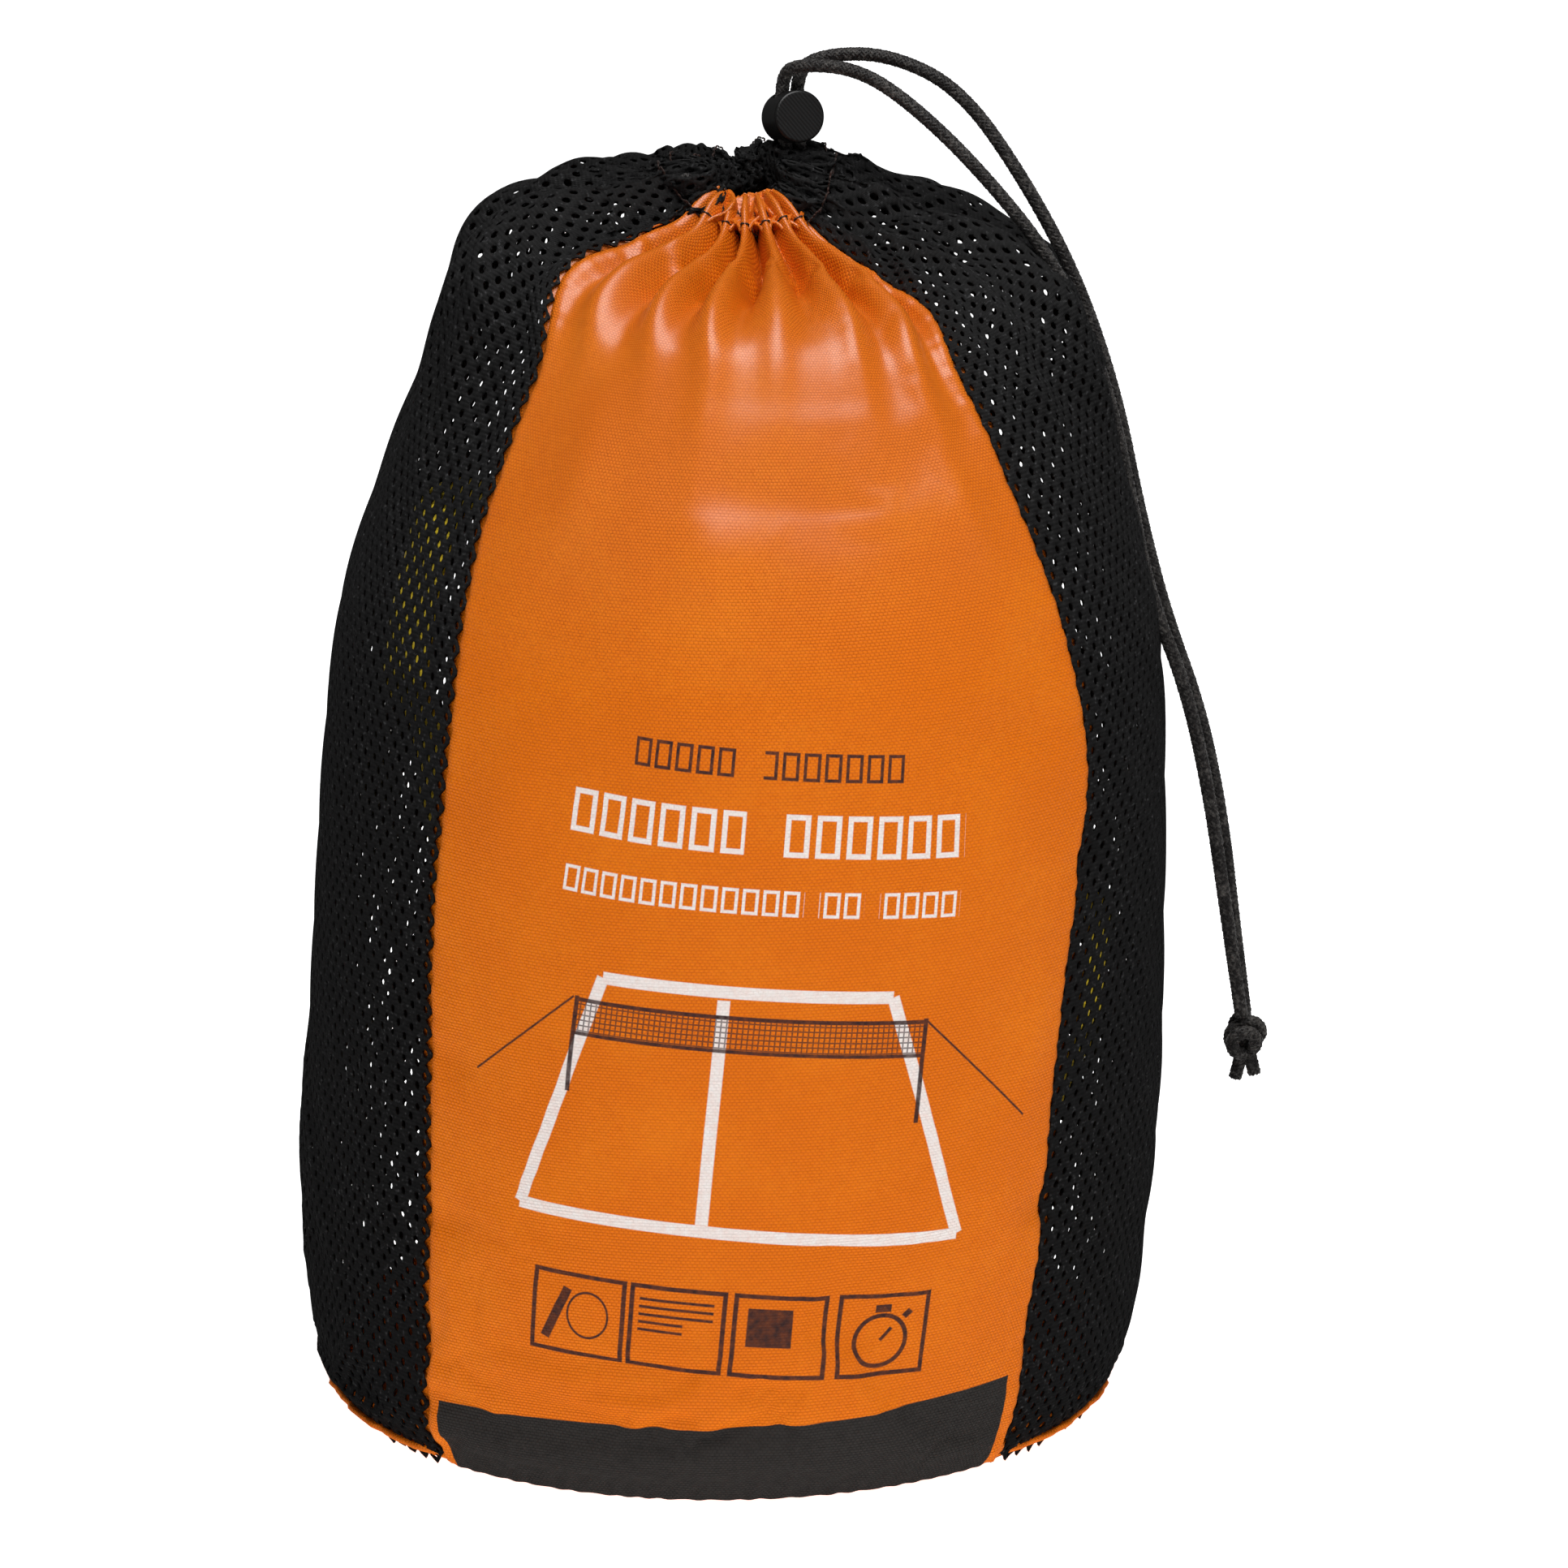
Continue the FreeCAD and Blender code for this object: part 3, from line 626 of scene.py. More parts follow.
def printed_shapes(finish):
    """The inks on the front panel: where white, dark and grey lie."""
    across, up = finish.flat("print")
    tilt = math.radians(4.9)
    x, y = (across - 4.9) / 1.024, (up - 118.3) / 1.02
    slant = 0.027       # the print leans this much less than it turns
    artwork = Print(x * math.cos(tilt) - y * (math.sin(tilt) - slant),
                    x * math.sin(tilt) + y * math.cos(tilt))
    white = [
        artwork.row(-49, 45.4, 43.5, 53.5, 7.26, 1.25, [(-7.3, 0.6)]),
        artwork.row(-49, 45, 29.6, 35.6, 4.7, 0.75, [(7.5, 11.0), (21.5, 25.2)]),
        artwork.stroke((-36.5, 11), (30.5, 11), 2.9), artwork.stroke((30.5, 11), (53, -47), 2.9),
        artwork.stroke((53, -47), (-51, -46), 2.9), artwork.stroke((-51, -46), (-36.5, 11), 2.9),
        artwork.stroke((-8.5, 9), (-8, -45), 2.9),
    ]
    grid = even_bar((artwork.across / 1.25).part(), 0.0, 0.3, 0.1).most(
        even_bar((artwork.up / 1.25).part(), 0.0, 0.3, 0.1)).clamped()
    dark = [
        artwork.row(-35, 30, 61.2, 67.8, 5.0, 0.8, [(-10.9, -4.2)]),
        artwork.block(-42, 39, -3, 5.3).least(grid) * 0.8,
        artwork.block(-42, 39, 4.5, 5.5), artwork.block(-42, 39, -3.4, -2.5),
        artwork.block(-42.7, -41.6, -17, 5.8), artwork.block(38.5, 39.6, -19, 5.8),
        artwork.stroke((-43, 5.5), (-66.5, -18), 0.5), artwork.stroke((39, 5.5), (68.5, -20), 0.5),
    ]
    dark += icon_shapes(artwork)
    band = even_bar(up - across * 0.036, -5.0, 22.2).least(even_bar(across, -74.4, 75.6)).clamped()
    return together(white), together(dark), band


def icon_shapes(artwork):
    """Four outlined squares, each with a plain pictogram."""
    shapes = []
    for middle in (-34.6, -11.5, 12.2, 36.8):
        shapes.append(artwork.frame(middle - 11.15, middle + 11.15, -81.0, -60.4, 1.1))
    left = -34.6 - 11.15
    shapes.append(artwork.stroke((left + 8.5, -64.5), (left + 3.6, -77.6), 2.2))
    shapes.append(artwork.ring((left + 13.5, -70.5), 5.6, 0.6, 0.85))
    left = -11.5 - 11.15
    for number, reach in enumerate((19.4, 19.4, 19.4, 12.6, 12.6)):
        level = -64.0 - 1.9 * number
        shapes.append(artwork.block(left + 2.3, left + reach, level - 0.35, level + 0.35))
    left = 12.2 - 11.15
    shapes.append(artwork.block(left + 3.4, left + 13.8, -73.4, -63.9))
    left = 36.8 - 11.15
    middle = (left + 10.9, -72.3)
    shapes.append(artwork.ring(middle, 6.2, 1.1))
    shapes.append(artwork.block(middle[0] - 1.9, middle[0] + 1.9, middle[1] + 7.0, middle[1] + 9.0))
    shapes.append(artwork.stroke((middle[0] + 5.2, middle[1] + 5.6), (middle[0] + 6.8, middle[1] + 7.2), 1.6))
    shapes.append(artwork.stroke(middle, (middle[0] + 2.4, middle[1] + 3.0), 0.9))
    return shapes


def orange_cloth(name, printed):
    """Satin orange bag cloth in a close weave, plain or with the front's print."""
    finish = Finish(name, Specular_IOR_Level=0.08, Coat_Roughness=0.36, Coat_IOR=1.6)
    across, up = finish.flat("cloth")
    threads = weave(across, up)
    cloudy = finish.noise(38.0, 3.0)
    speckle = finish.noise(620.0, 1.0)
    colour = finish.mixed((threads * 0.75 + cloudy * 0.25).clamped(), ORANGE_DEEP, ORANGE)
    colour = finish.mixed(((cloudy - 0.45) * 0.9 + (speckle - 0.5) * 0.5).clamped(), colour, ORANGE_PALE)
    roughness = 0.52 - threads * 0.10
    if printed:
        white, dark, band = printed_shapes(finish)
        wear = (0.93 + (speckle - 0.5) * 0.3).clamped()
        colour = finish.mixed(white * wear, colour, WHITE_INK)
        colour = finish.mixed(dark * wear, colour, DARK_INK)
        fleck = (threads * 0.5 + speckle * 0.5 - 0.1).clamped()
        colour = finish.mixed(band, colour, finish.mixed(fleck, (0.02, 0.018, 0.017), BAND_GREY))
    finish.feed("Base Color", colour)
    finish.feed("Roughness", roughness)
    finish.feed("Coat Weight", (((up - 200.0) / 50.0).clamped() * 0.85 + 0.01) * (threads * 0.4 + 0.6))
    finish.relief(threads + speckle * 0.25, 0.00022)
    return finish.material


def black_mesh():
    """Black warp-knit mesh: fine ribs of yarn round the holes, with a faint shine and painted glints on
    speckled rib tops.
    """
    finish = Finish("black_mesh", Specular_IOR_Level=0.3)
    across, up = finish.flat("cloth")
    ribs = ((across * 9.0 + up * 3.0).sine() * (across * 9.0 - up * 3.0).sine() + 1.0) * 0.5
    speckle = finish.noise(900.0, 1.0)
    # painted glint: on speckled rib tops the base colour is lightened towards pale grey, and the roughness
    # lowered
    painted_glint = ((speckle - 0.62) * 9.0).clamped() * ribs
    colour = finish.mixed((ribs * 0.7 + speckle * 0.3).clamped(), (0.001, 0.001, 0.001),
                          (0.009, 0.0087, 0.009))
    colour = finish.mixed(painted_glint * 0.7, colour, (0.07, 0.07, 0.073))
    finish.feed("Base Color", colour)
    finish.feed("Roughness", 0.75 - painted_glint * 0.3)
    finish.relief(ribs, 0.00016)
    return finish.material


def yarn(name, dark, light, grain=900.0, rough=0.6):
    """Spun yarn: fine fibres of two tones."""
    finish = Finish(name, Sheen_Weight=0.15, Sheen_Roughness=0.4, Specular_IOR_Level=0.35)
    fibres = finish.noise(grain, 2.0)
    slow = finish.noise(grain / 6.0, 1.0)
    finish.feed("Base Color", finish.mixed(((fibres - 0.45) * 3.0 + (slow - 0.5)).clamped(), dark, light))
    finish.feed("Roughness", rough - fibres * 0.1)
    finish.relief(fibres, 0.0001)
    return finish.material


PRESS_AXIS = (0.347723, -0.905849, 0.241922)        # the way the lock's ribbed face looks


def lock_plastic(name, ribbed):
    """Dark moulded plastic: satin sides, and fine ribs across the pressing face, which is painted darker than
    the sides as painted shade.
    """
    finish = Finish(name, Specular_IOR_Level=0.4)
    x, y, z = finish.object_place()
    facing = finish.add("ShaderNodeNewGeometry").outputs["Normal"]
    press = Signal(finish, finish.add("ShaderNodeVectorMath", {"operation": "DOT_PRODUCT"},
                                      [facing, PRESS_AXIS]).outputs["Value"])
    face_and_painted_shade = ((press - 0.9) * 20.0).clamped()
    slanted = x * 0.75 + z * 0.62 + y * 0.2
    ribs = ((slanted * (2 * math.pi / 0.75)).sine() + 1.0) * 0.5
    grain = finish.noise(700.0, 2.0)
    colour = finish.mixed(grain, (0.003, 0.003, 0.003), (0.007, 0.0067, 0.0067))
    # painted shade: the pressing face is given a darker base colour than the sides
    colour = finish.mixed(face_and_painted_shade, colour, finish.mixed(ribs, (0.001, 0.001, 0.001), (0.004, 0.0038, 0.0038)))
    finish.feed("Base Color", colour)
    finish.feed("Roughness", 0.30 + grain * 0.08 + face_and_painted_shade * 0.25)
    finish.relief(ribs * face_and_painted_shade * (1.0 if ribbed else 0.3) + grain * 0.05, 0.0002)
    return finish.material


def spring_steel():
    """Bright drawn wire with faint draw lines."""
    finish = Finish("spring_steel", Metallic=1.0)
    lines = finish.noise(2500.0, 1.0)
    finish.feed("Base Color", finish.mixed(lines, (0.42, 0.42, 0.43), (0.60, 0.60, 0.61)))
    finish.feed("Roughness", 0.25 + lines * 0.15)
    return finish.material


def yellow_webbing():
    """Woven yellow webbing: ribs across it and paler twill lines."""
    finish = Finish("yellow_webbing", Sheen_Weight=0.2, Specular_IOR_Level=0.3)
    across, up = finish.flat("cloth")
    ribs = ((up * (2 * math.pi / 1.5) + (across * 2.1).sine() * 0.8).sine() + 1.0) * 0.5
    twill = (((across + up) * 3.1).sine() + 1.0) * 0.5
    finish.feed("Base Color", finish.mixed((ribs * 0.6 + twill * 0.4).clamped(), (0.60, 0.43, 0.005),
                                           (0.76, 0.56, 0.012)))
    finish.feed("Roughness", 0.75 - ribs * 0.1)
    finish.relief(ribs, 0.0003)
    return finish.material


def pale_floor():
    """Plain, near-white paper, very faintly mottled."""
    finish = Finish("pale_floor", Specular_IOR_Level=0.1)
    mottle = finish.noise(9.0, 2.0)
    finish.feed("Base Color", finish.mixed(mottle, (0.93, 0.93, 0.93), (0.95, 0.95, 0.95)))
    finish.feed("Roughness", 0.9 + mottle * 0.05)
    finish.feed("Emission Color", finish.mixed(mottle, (1.0, 1.0, 1.0), (0.98, 0.98, 0.98)))
    finish.shader.inputs["Emission Strength"].default_value = 1.0
    return finish.material


MATERIALS = {}


def material(name):
    """One of the bag's materials, made the first time it is wanted."""
    makers = {
        "orange_print": lambda: orange_cloth("orange_print", True),
        "orange_cloth": lambda: orange_cloth("orange_cloth", False),
        "black_mesh": black_mesh,
        "dark_thread": lambda: yarn("dark_thread", (0.016, 0.006, 0.004), (0.055, 0.020, 0.012)),
        "braided_cord": lambda: yarn("braided_cord", (0.008, 0.0065, 0.0062), (0.075, 0.068, 0.062), 1100.0),
        "lock_face": lambda: lock_plastic("lock_face", True),
        "lock_plastic": lambda: lock_plastic("lock_plastic", False),
        "spring_steel": spring_steel,
        "yellow_webbing": yellow_webbing,
        "pale_floor": pale_floor,
    }
    if name not in MATERIALS:
        MATERIALS[name] = makers[name]()
    return MATERIALS[name]


# ---------------------------------------------------------------------------
# Cords
# ---------------------------------------------------------------------------

TAIL_A = [(0.01136, 0.01247, 0.3015), (0.0166, 0.0099, 0.3016), (0.0201, 0.0067, 0.3052),
          (0.0181, 0.01185, 0.3268), (0.0250, 0.0132, 0.3310), (0.0410, 0.0120, 0.3314),
          (0.0580, 0.0090, 0.3235), (0.0730, 0.0060, 0.3025), (0.0860, 0.0030, 0.2785),
          (0.0955, 0.0005, 0.2505), (0.1010, -0.0015, 0.2230), (0.1075, -0.0030, 0.1975),
          (0.1165, -0.0045, 0.1730), (0.1220, -0.0055, 0.1460), (0.1250, -0.0065, 0.1200),
          (0.1280, -0.0064, 0.0970)]
TAIL_B = [(0.01789, -0.00547, 0.3015), (0.0193, -0.0014, 0.3017), (0.01655, 0.00535, 0.3052),
          (0.01455, 0.0105, 0.3268), (0.0205, 0.0064, 0.3302), (0.0335, 0.0032, 0.3296),
          (0.0460, 0.0002, 0.3220), (0.0625, -0.0030, 0.3065), (0.0805, -0.0060, 0.2845),
          (0.0925, -0.0080, 0.2570), (0.0985, -0.0095, 0.2295), (0.1035, -0.0105, 0.2035),
          (0.1125, -0.0110, 0.1810), (0.1185, -0.0110, 0.1540), (0.1225, -0.0110, 0.1270),
          (0.1270, -0.0100, 0.0972)]
KNOT_CENTRE = (0.1282, -0.0082, 0.0915)


def cord_line(name, places, order=3):
    """A smooth curve through a cord's route, and the points along it."""
    curve = bpy.data.curves.new(name, "CURVE")
    curve.dimensions = "3D"
    curve.resolution_u = 40
    spline = curve.splines.new("NURBS")
    spline.points.add(len(places) - 1)
    for point, place in zip(spline.points, places):
        point.co = (*place, 1.0)
    spline.order_u = order
    spline.use_endpoint_u = True
    obj = bpy.data.objects.new(name, curve)
    bpy.context.collection.objects.link(obj)
    line = bpy.data.meshes.new_from_object(obj)
    places = corners_of(line)
    bpy.data.meshes.remove(line)
    bpy.data.objects.remove(obj)
    return places


def evenly(places, spacing):
    """The same line with its points a set distance apart, and that distance exactly."""
    steps = np.linalg.norm(np.diff(places, axis=0), axis=1)
    run = np.concatenate([[0.0], np.cumsum(steps)])
    count = max(int(round(run[-1] / spacing)), 4)
    wanted = np.linspace(0.0, run[-1], count + 1)
    return np.stack([np.interp(wanted, run, places[:, axis]) for axis in range(3)], axis=-1), run[-1] / count


def carried_frame(places):
    """Two directions across a line at each point, carried along it without twisting."""
    along = np.gradient(places, axis=0)
    along /= np.linalg.norm(along, axis=1, keepdims=True)
    side = np.cross(along[0], (0.0, 0.0, 1.0) if abs(along[0][2]) < 0.9 else (0.0, 1.0, 0.0))
    sides = []
    for direction in along:
        side = side - direction * np.dot(side, direction)
        side /= np.linalg.norm(side)
        sides.append(side)
    sides = np.array(sides)
    return sides, np.cross(along, sides)


def tubes(name, lines, radius, sides, closed=False):
    """A mesh of round tubes along several lines of points."""
    curve = bpy.data.curves.new(name, "CURVE")
    curve.dimensions = "3D"
    curve.bevel_depth = radius
    curve.bevel_resolution = sides
    curve.use_fill_caps = not closed
    for line in lines:
        spline = curve.splines.new("POLY")
        spline.points.add(len(line) - 1)
        spline.points.foreach_set("co", np.column_stack([line, np.ones(len(line))]).ravel())
        spline.use_cyclic_u = closed
    obj = bpy.data.objects.new(name, curve)
    bpy.context.collection.objects.link(obj)
    mesh = bpy.data.meshes.new_from_object(obj)
    bpy.data.objects.remove(obj)
    mesh.name = name
    return mesh


def joined(name, meshes):
    """Several meshes as one, with their doubled corners merged."""
    bm = bmesh.new()
    for mesh in meshes:
        bm.from_mesh(mesh)
    bmesh.ops.remove_doubles(bm, verts=bm.verts, dist=1e-7)
    bmesh.ops.recalc_face_normals(bm, faces=bm.faces)
    whole = bpy.data.meshes.new(name)
    bm.to_mesh(whole)
    bm.free()
    return whole


def braid(name, places, diameter, strands=8, lay_length=0.0085, step=0.0007):
    """A braided cord: strands going round both ways, over and under each other, about a dark core."""
    places, spacing = evenly(places, step)
    first, second = carried_frame(places)
    strand = diameter * 0.118
    middle = diameter / 2 - strand - diameter * 0.03
    run = np.arange(len(places)) * spacing
    turn = 2 * math.pi / lay_length
    lines = []
    for way in (1, -1):
        radius = middle + way * diameter * 0.036 * np.cos(strands * turn * run)
        for number in range(strands):
            angle = 2 * math.pi * number / strands + way * turn * run
            lines.append(places + first * (radius * np.cos(angle))[:, None]
                         + second * (radius * np.sin(angle))[:, None])
    core = tubes(name + "_core", [places[::3]], diameter * 0.36, 2)
    return joined(name, [tubes(name + "_strands", lines, strand, 1), core]), places


def knot_lines():
    """The two cords' lines through their shared overhand knot, to the cut ends."""
    centre = np.array(KNOT_CENTRE)
    turn = np.linspace(0.0, 1.0, 22)
    angle = math.pi * (0.52 + 2.95 * turn)
    loop = np.stack([0.0034 * np.cos(angle) * (1 - 0.15 * turn),
                     0.0030 * np.sin(2 * math.pi * (turn * 0.9 + 0.08)),
                     0.0036 * np.sin(angle) * (1 - 0.15 * turn)], axis=-1)
    lines = []
    for side, start, end in ((-1, TAIL_A[-1], (-0.0024, 0.0008, -0.0108)),
                             (1, TAIL_B[-1], (0.0022, -0.0004, -0.0095))):
        shift = np.array([0.0006 * side, 0.00165 * side, 0.0008 * side])
        way_out = centre + np.array([np.array(end) * 0.45, end])
        places = np.vstack([start, centre + loop + shift, way_out])
        lines.append(cord_line("knot_line", places.tolist(), order=4))
    return lines


# ---------------------------------------------------------------------------
# The pieces
# ---------------------------------------------------------------------------

def make_cords(bag):
    """Both free tails of the drawcord, and the knot that joins their ends."""
    finish = material("braided_cord")
    knots = [braid("knot_strand", line, bag.cord_diameter)[0] for line in knot_lines()]
    knot = shown("EndKnot", joined("EndKnot", knots), finish, nodes=["end_knot"])
    for name, node, route in (("CordTailA", "cord_tail_a", TAIL_A), ("CordTailB", "cord_tail_b", TAIL_B)):
        mesh, places = braid(name, cord_line(name + "_line", route), bag.cord_diameter)
        tail = shown(name, mesh, finish, nodes=[node])


def make_drawcord(bag):
    """The part of the drawcord that runs round inside the tunnel."""
    count = 120
    around = np.radians(np.linspace(160, 62 + 360, count))
    route = cloth().points(around, np.full(count, CLOTH_HEIGHT - 0.006), -0.0028)
    route = np.stack([np.convolve(route[:, axis], np.ones(5) / 5, "valid") for axis in range(3)], axis=-1)
    mesh, places = braid("Drawcord", route, bag.cord_diameter)
    obj = shown("Drawcord", mesh, material("braided_cord"), nodes=["drawcord"])


def make_front_panel(bag):
    """The printed front: one piece of cloth, its side edges rolled under at the seams."""
    mesh, across, up = flat_grid("FrontPanel", 168, 244)
    around = LEFT_CUT + (RIGHT_CUT - LEFT_CUT) * across
    height = -0.0015 + (CLOTH_HEIGHT + 0.0012) * up
    from_edge = np.minimum(across, 1 - across) * (RIGHT_CUT - LEFT_CUT) * FLAT_RADIUS
    lift = 0.0009 * eased(from_edge / 0.0022) - 0.0005
    lift = lift - 0.0009 * eased((height - CLOTH_HEIGHT + 0.0016) / 0.0016) * 0.5
    pucker = np.sin(height / MM * 1.05) * np.sin(height / MM * 0.31 + 1.0) * 0.00025
    lift = lift + pucker * (1 - eased(from_edge / 0.011))
    lay_on_cloth(mesh, around, height, lift)
    obj = shown("FrontPanel", mesh, material("orange_print"), nodes=["front_panel"])
    thicken(obj, bag.cloth_thickness)


HEM_REACH_MM = 12.5     # how far the hem runs back down inside


def folded_hem(across):
    """Places up the cloth and lifts of a hem that folds inwards round the drawcord."""
    steps = [(0.0, -0.9, 0.05), (0.12, 0.4, -0.35), (0.26, 0.55, -1.3), (0.4, -0.5, -2.6), (0.55, -2.5, -4.3),
             (0.7, -5.5, -4.9), (0.84, -8.6, -4.3), (0.93, -10.8, -2.0), (1.0, -HEM_REACH_MM, -1.5)]
    height = smooth_table([(place * 10, value) for place, value, _ in steps], across * 10)
    lift = smooth_table([(place * 10, value) for place, _, value in steps], across * 10)
    return CLOTH_HEIGHT + height * MM, lift * MM


def make_front_hem(bag):
    """The front panel's top edge, folded in round the drawcord and sewn down."""
    mesh, across, up = flat_grid("FrontHem", 168, 24)
    around = LEFT_CUT + (RIGHT_CUT - LEFT_CUT) * across
    height, lift = folded_hem(1 - up)
    lay_on_cloth(mesh, around, height, lift)
    obj = shown("FrontHem", mesh, material("orange_cloth"), nodes=["front_hem"])
    thicken(obj, bag.cloth_thickness)


NET_STRIPS = (25, 24, 25, 24)       # cells across each piece of the net
NET_CELLS = sum(NET_STRIPS)
NET_WIDTH = (FULL_TURN - RIGHT_CUT + LEFT_CUT) * FLAT_RADIUS
NET_LIFT = -0.0004                  # the net lies this far below the front panel's face
NET_COVER = 0.79                    # share of the net that isn't hole


def net_mesh(name, cells_across, cells_up, left, low, width, length, hole):
    """A piece of net: diamond cells with rounded holes, arrayed, flat, in metres."""
    cell_across, cell_up = width / cells_across, length / cells_up
    bm = bmesh.new()
    for shift in (0.0, 0.5):
        outer = bmesh.ops.create_circle(bm, segments=8, radius=1.0)["verts"]
        inner = bmesh.ops.create_circle(bm, segments=8, radius=1.0)["verts"]
        for vert in outer:
            reach = abs(vert.co.x) + abs(vert.co.y)
            vert.co = Vector((vert.co.x / reach * cell_across / 2, vert.co.y / reach * cell_up / 2, 0.0))
        for vert in inner:
            vert.co = Vector((vert.co.x * hole[0], vert.co.y * hole[1], 0.0))
        offset = Vector((left + shift * cell_across, low + shift * cell_up, 0.0))
        bmesh.ops.translate(bm, verts=outer + inner, vec=offset)
        edges = list(dict.fromkeys(edge for vert in outer + inner for edge in vert.link_edges))
        bmesh.ops.bridge_loops(bm, edges=edges)
    bmesh.ops.recalc_face_normals(bm, faces=bm.faces)
    mesh = bpy.data.meshes.new(name)
    bm.to_mesh(mesh)
    bm.free()
    obj = bpy.data.objects.new(name, mesh)
    bpy.context.collection.objects.link(obj)
    for count, offset in ((cells_across, (cell_across, 0.0, 0.0)), (cells_up, (0.0, cell_up, 0.0))):
        array = obj.modifiers.new("repeat", "ARRAY")
        array.count = count
        array.use_relative_offset = False
        array.use_constant_offset = True
        array.constant_offset_displace = offset
    depsgraph = bpy.context.evaluated_depsgraph_get()
    whole = bpy.data.meshes.new_from_object(obj.evaluated_get(depsgraph))
    bpy.data.objects.remove(obj)
    bm = bmesh.new()
    bm.from_mesh(whole)
    bmesh.ops.remove_doubles(bm, verts=bm.verts, dist=5e-5)
    for face in bm.faces:
        if face.normal.z < 0:
            face.normal_flip()
    bm.to_mesh(whole)
    bm.free()
    whole.name = name
    return whole


def make_mesh_body(bag):
    """The black net that wraps the sides and back, in four pieces side by side."""
    finish = material("black_mesh")
    hole = (bag.hole_width / 2, bag.hole_height / 2)
    rows = round((CLOTH_HEIGHT + 0.0025) / 0.0055)
    pieces = []
    for number, cells in enumerate(NET_STRIPS):
        name = "MeshBody%d" % (number + 1)
        left = RIGHT_CUT * FLAT_RADIUS + NET_WIDTH / NET_CELLS * sum(NET_STRIPS[:number])
        mesh = net_mesh(name, cells, rows, left, -0.0015, NET_WIDTH / NET_CELLS * cells,
                        CLOTH_HEIGHT + 0.002, hole)
        flat = corners_of(mesh)
        around, height = flat[:, 0] / FLAT_RADIUS, flat[:, 1]
        height = np.minimum(height, CLOTH_HEIGHT + 0.0008)
        far_cut = FULL_TURN + LEFT_CUT
        under = np.minimum(np.abs(around - RIGHT_CUT), np.abs(around - far_cut)) * FLAT_RADIUS
        beyond = (around < RIGHT_CUT) | (around > far_cut)
        lay_on_cloth(mesh, around, height, np.where(beyond, NET_LIFT - 0.6 * under, NET_LIFT))
        nodes = ["mesh_body"] if number == 0 else []
        pieces.append(shown(name, mesh, finish, nodes=nodes))
        thicken(pieces[-1], bag.mesh_thickness)
    for piece, cells in zip(pieces, NET_STRIPS):
        width = NET_WIDTH / NET_CELLS * cells
        width * CLOTH_HEIGHT * NET_COVER


def make_mesh_hem(bag):
    """The net's top edge, folded in round the drawcord."""
    mesh = net_mesh("MeshHem", NET_CELLS, 4, RIGHT_CUT * FLAT_RADIUS, 0.0, NET_WIDTH, 0.022,
                    (bag.hole_width / 2, bag.hole_height / 2))
    flat = corners_of(mesh)
    share = np.clip((flat[:, 1] + 0.00275) / 0.022, 0.0, 1.0)
    height, lift = folded_hem(1 - share)
    lay_on_cloth(mesh, flat[:, 0] / FLAT_RADIUS, height, lift + NET_LIFT)
    obj = shown("MeshHem", mesh, material("black_mesh"), nodes=["mesh_hem"])
    thicken(obj, bag.mesh_thickness)


def make_base_panel(bag):
    """The round base: a disc of cloth whose edge turns up to the base seam."""
    profile = [(0.0, 1.6), (30.0, 1.5), (55.0, 1.0), (76.0, 0.6), (86.0, 1.1), (91.5, 2.3), (95.0, 3.8),
               (96.0, 4.9), (95.6, 5.7), (94.2, 6.0)]
    bm = bmesh.new()
    verts = [bm.verts.new((radius * MM, 0.0, FLOOR + level * MM)) for radius, level in profile]
    edges = [bm.edges.new(pair) for pair in zip(verts, verts[1:])]
    bmesh.ops.spin(bm, geom=verts + edges, cent=(0, 0, 0), axis=(0, 0, 1), angle=2 * math.pi, steps=256,
                   use_merge=True)
    bmesh.ops.remove_doubles(bm, verts=bm.verts, dist=1e-6)
    bmesh.ops.recalc_face_normals(bm, faces=bm.faces)
    mesh = bpy.data.meshes.new("BasePanel")
    bm.to_mesh(mesh)
    bm.free()
    places = corners_of(mesh)
    write_map(mesh, "cloth", places[:, :2].copy())
    angle = np.arctan2(places[:, 1], places[:, 0])
    radius = np.hypot(places[:, 0], places[:, 1])
    pucker = np.sin(61 * angle) * 0.2 + np.sin(23 * angle + 1.0) * 0.3 + np.sin(97 * angle) * 0.15
    in_front = eased((math.radians(56.0) - np.abs(angle + math.pi / 2)) / math.radians(14.0))
    pucker = pucker * (1 - in_front) + 0.6 - 2.0 * in_front
    swell = 1 + pucker * MM * np.clip((radius - 0.09) / 0.006, 0, 1) / np.maximum(radius, 1e-3)
    swell = np.stack([swell, swell, np.ones(len(swell))], axis=-1)
    mesh.vertices.foreach_set("co", (places * swell).ravel())
    mesh.update()
    obj = shown("BasePanel", mesh, material("orange_cloth"), nodes=["base_panel"])
    if sum(face.normal.z * face.area for face in mesh.polygons) > 0:
        mesh.flip_normals()
    thicken(obj, bag.cloth_thickness)


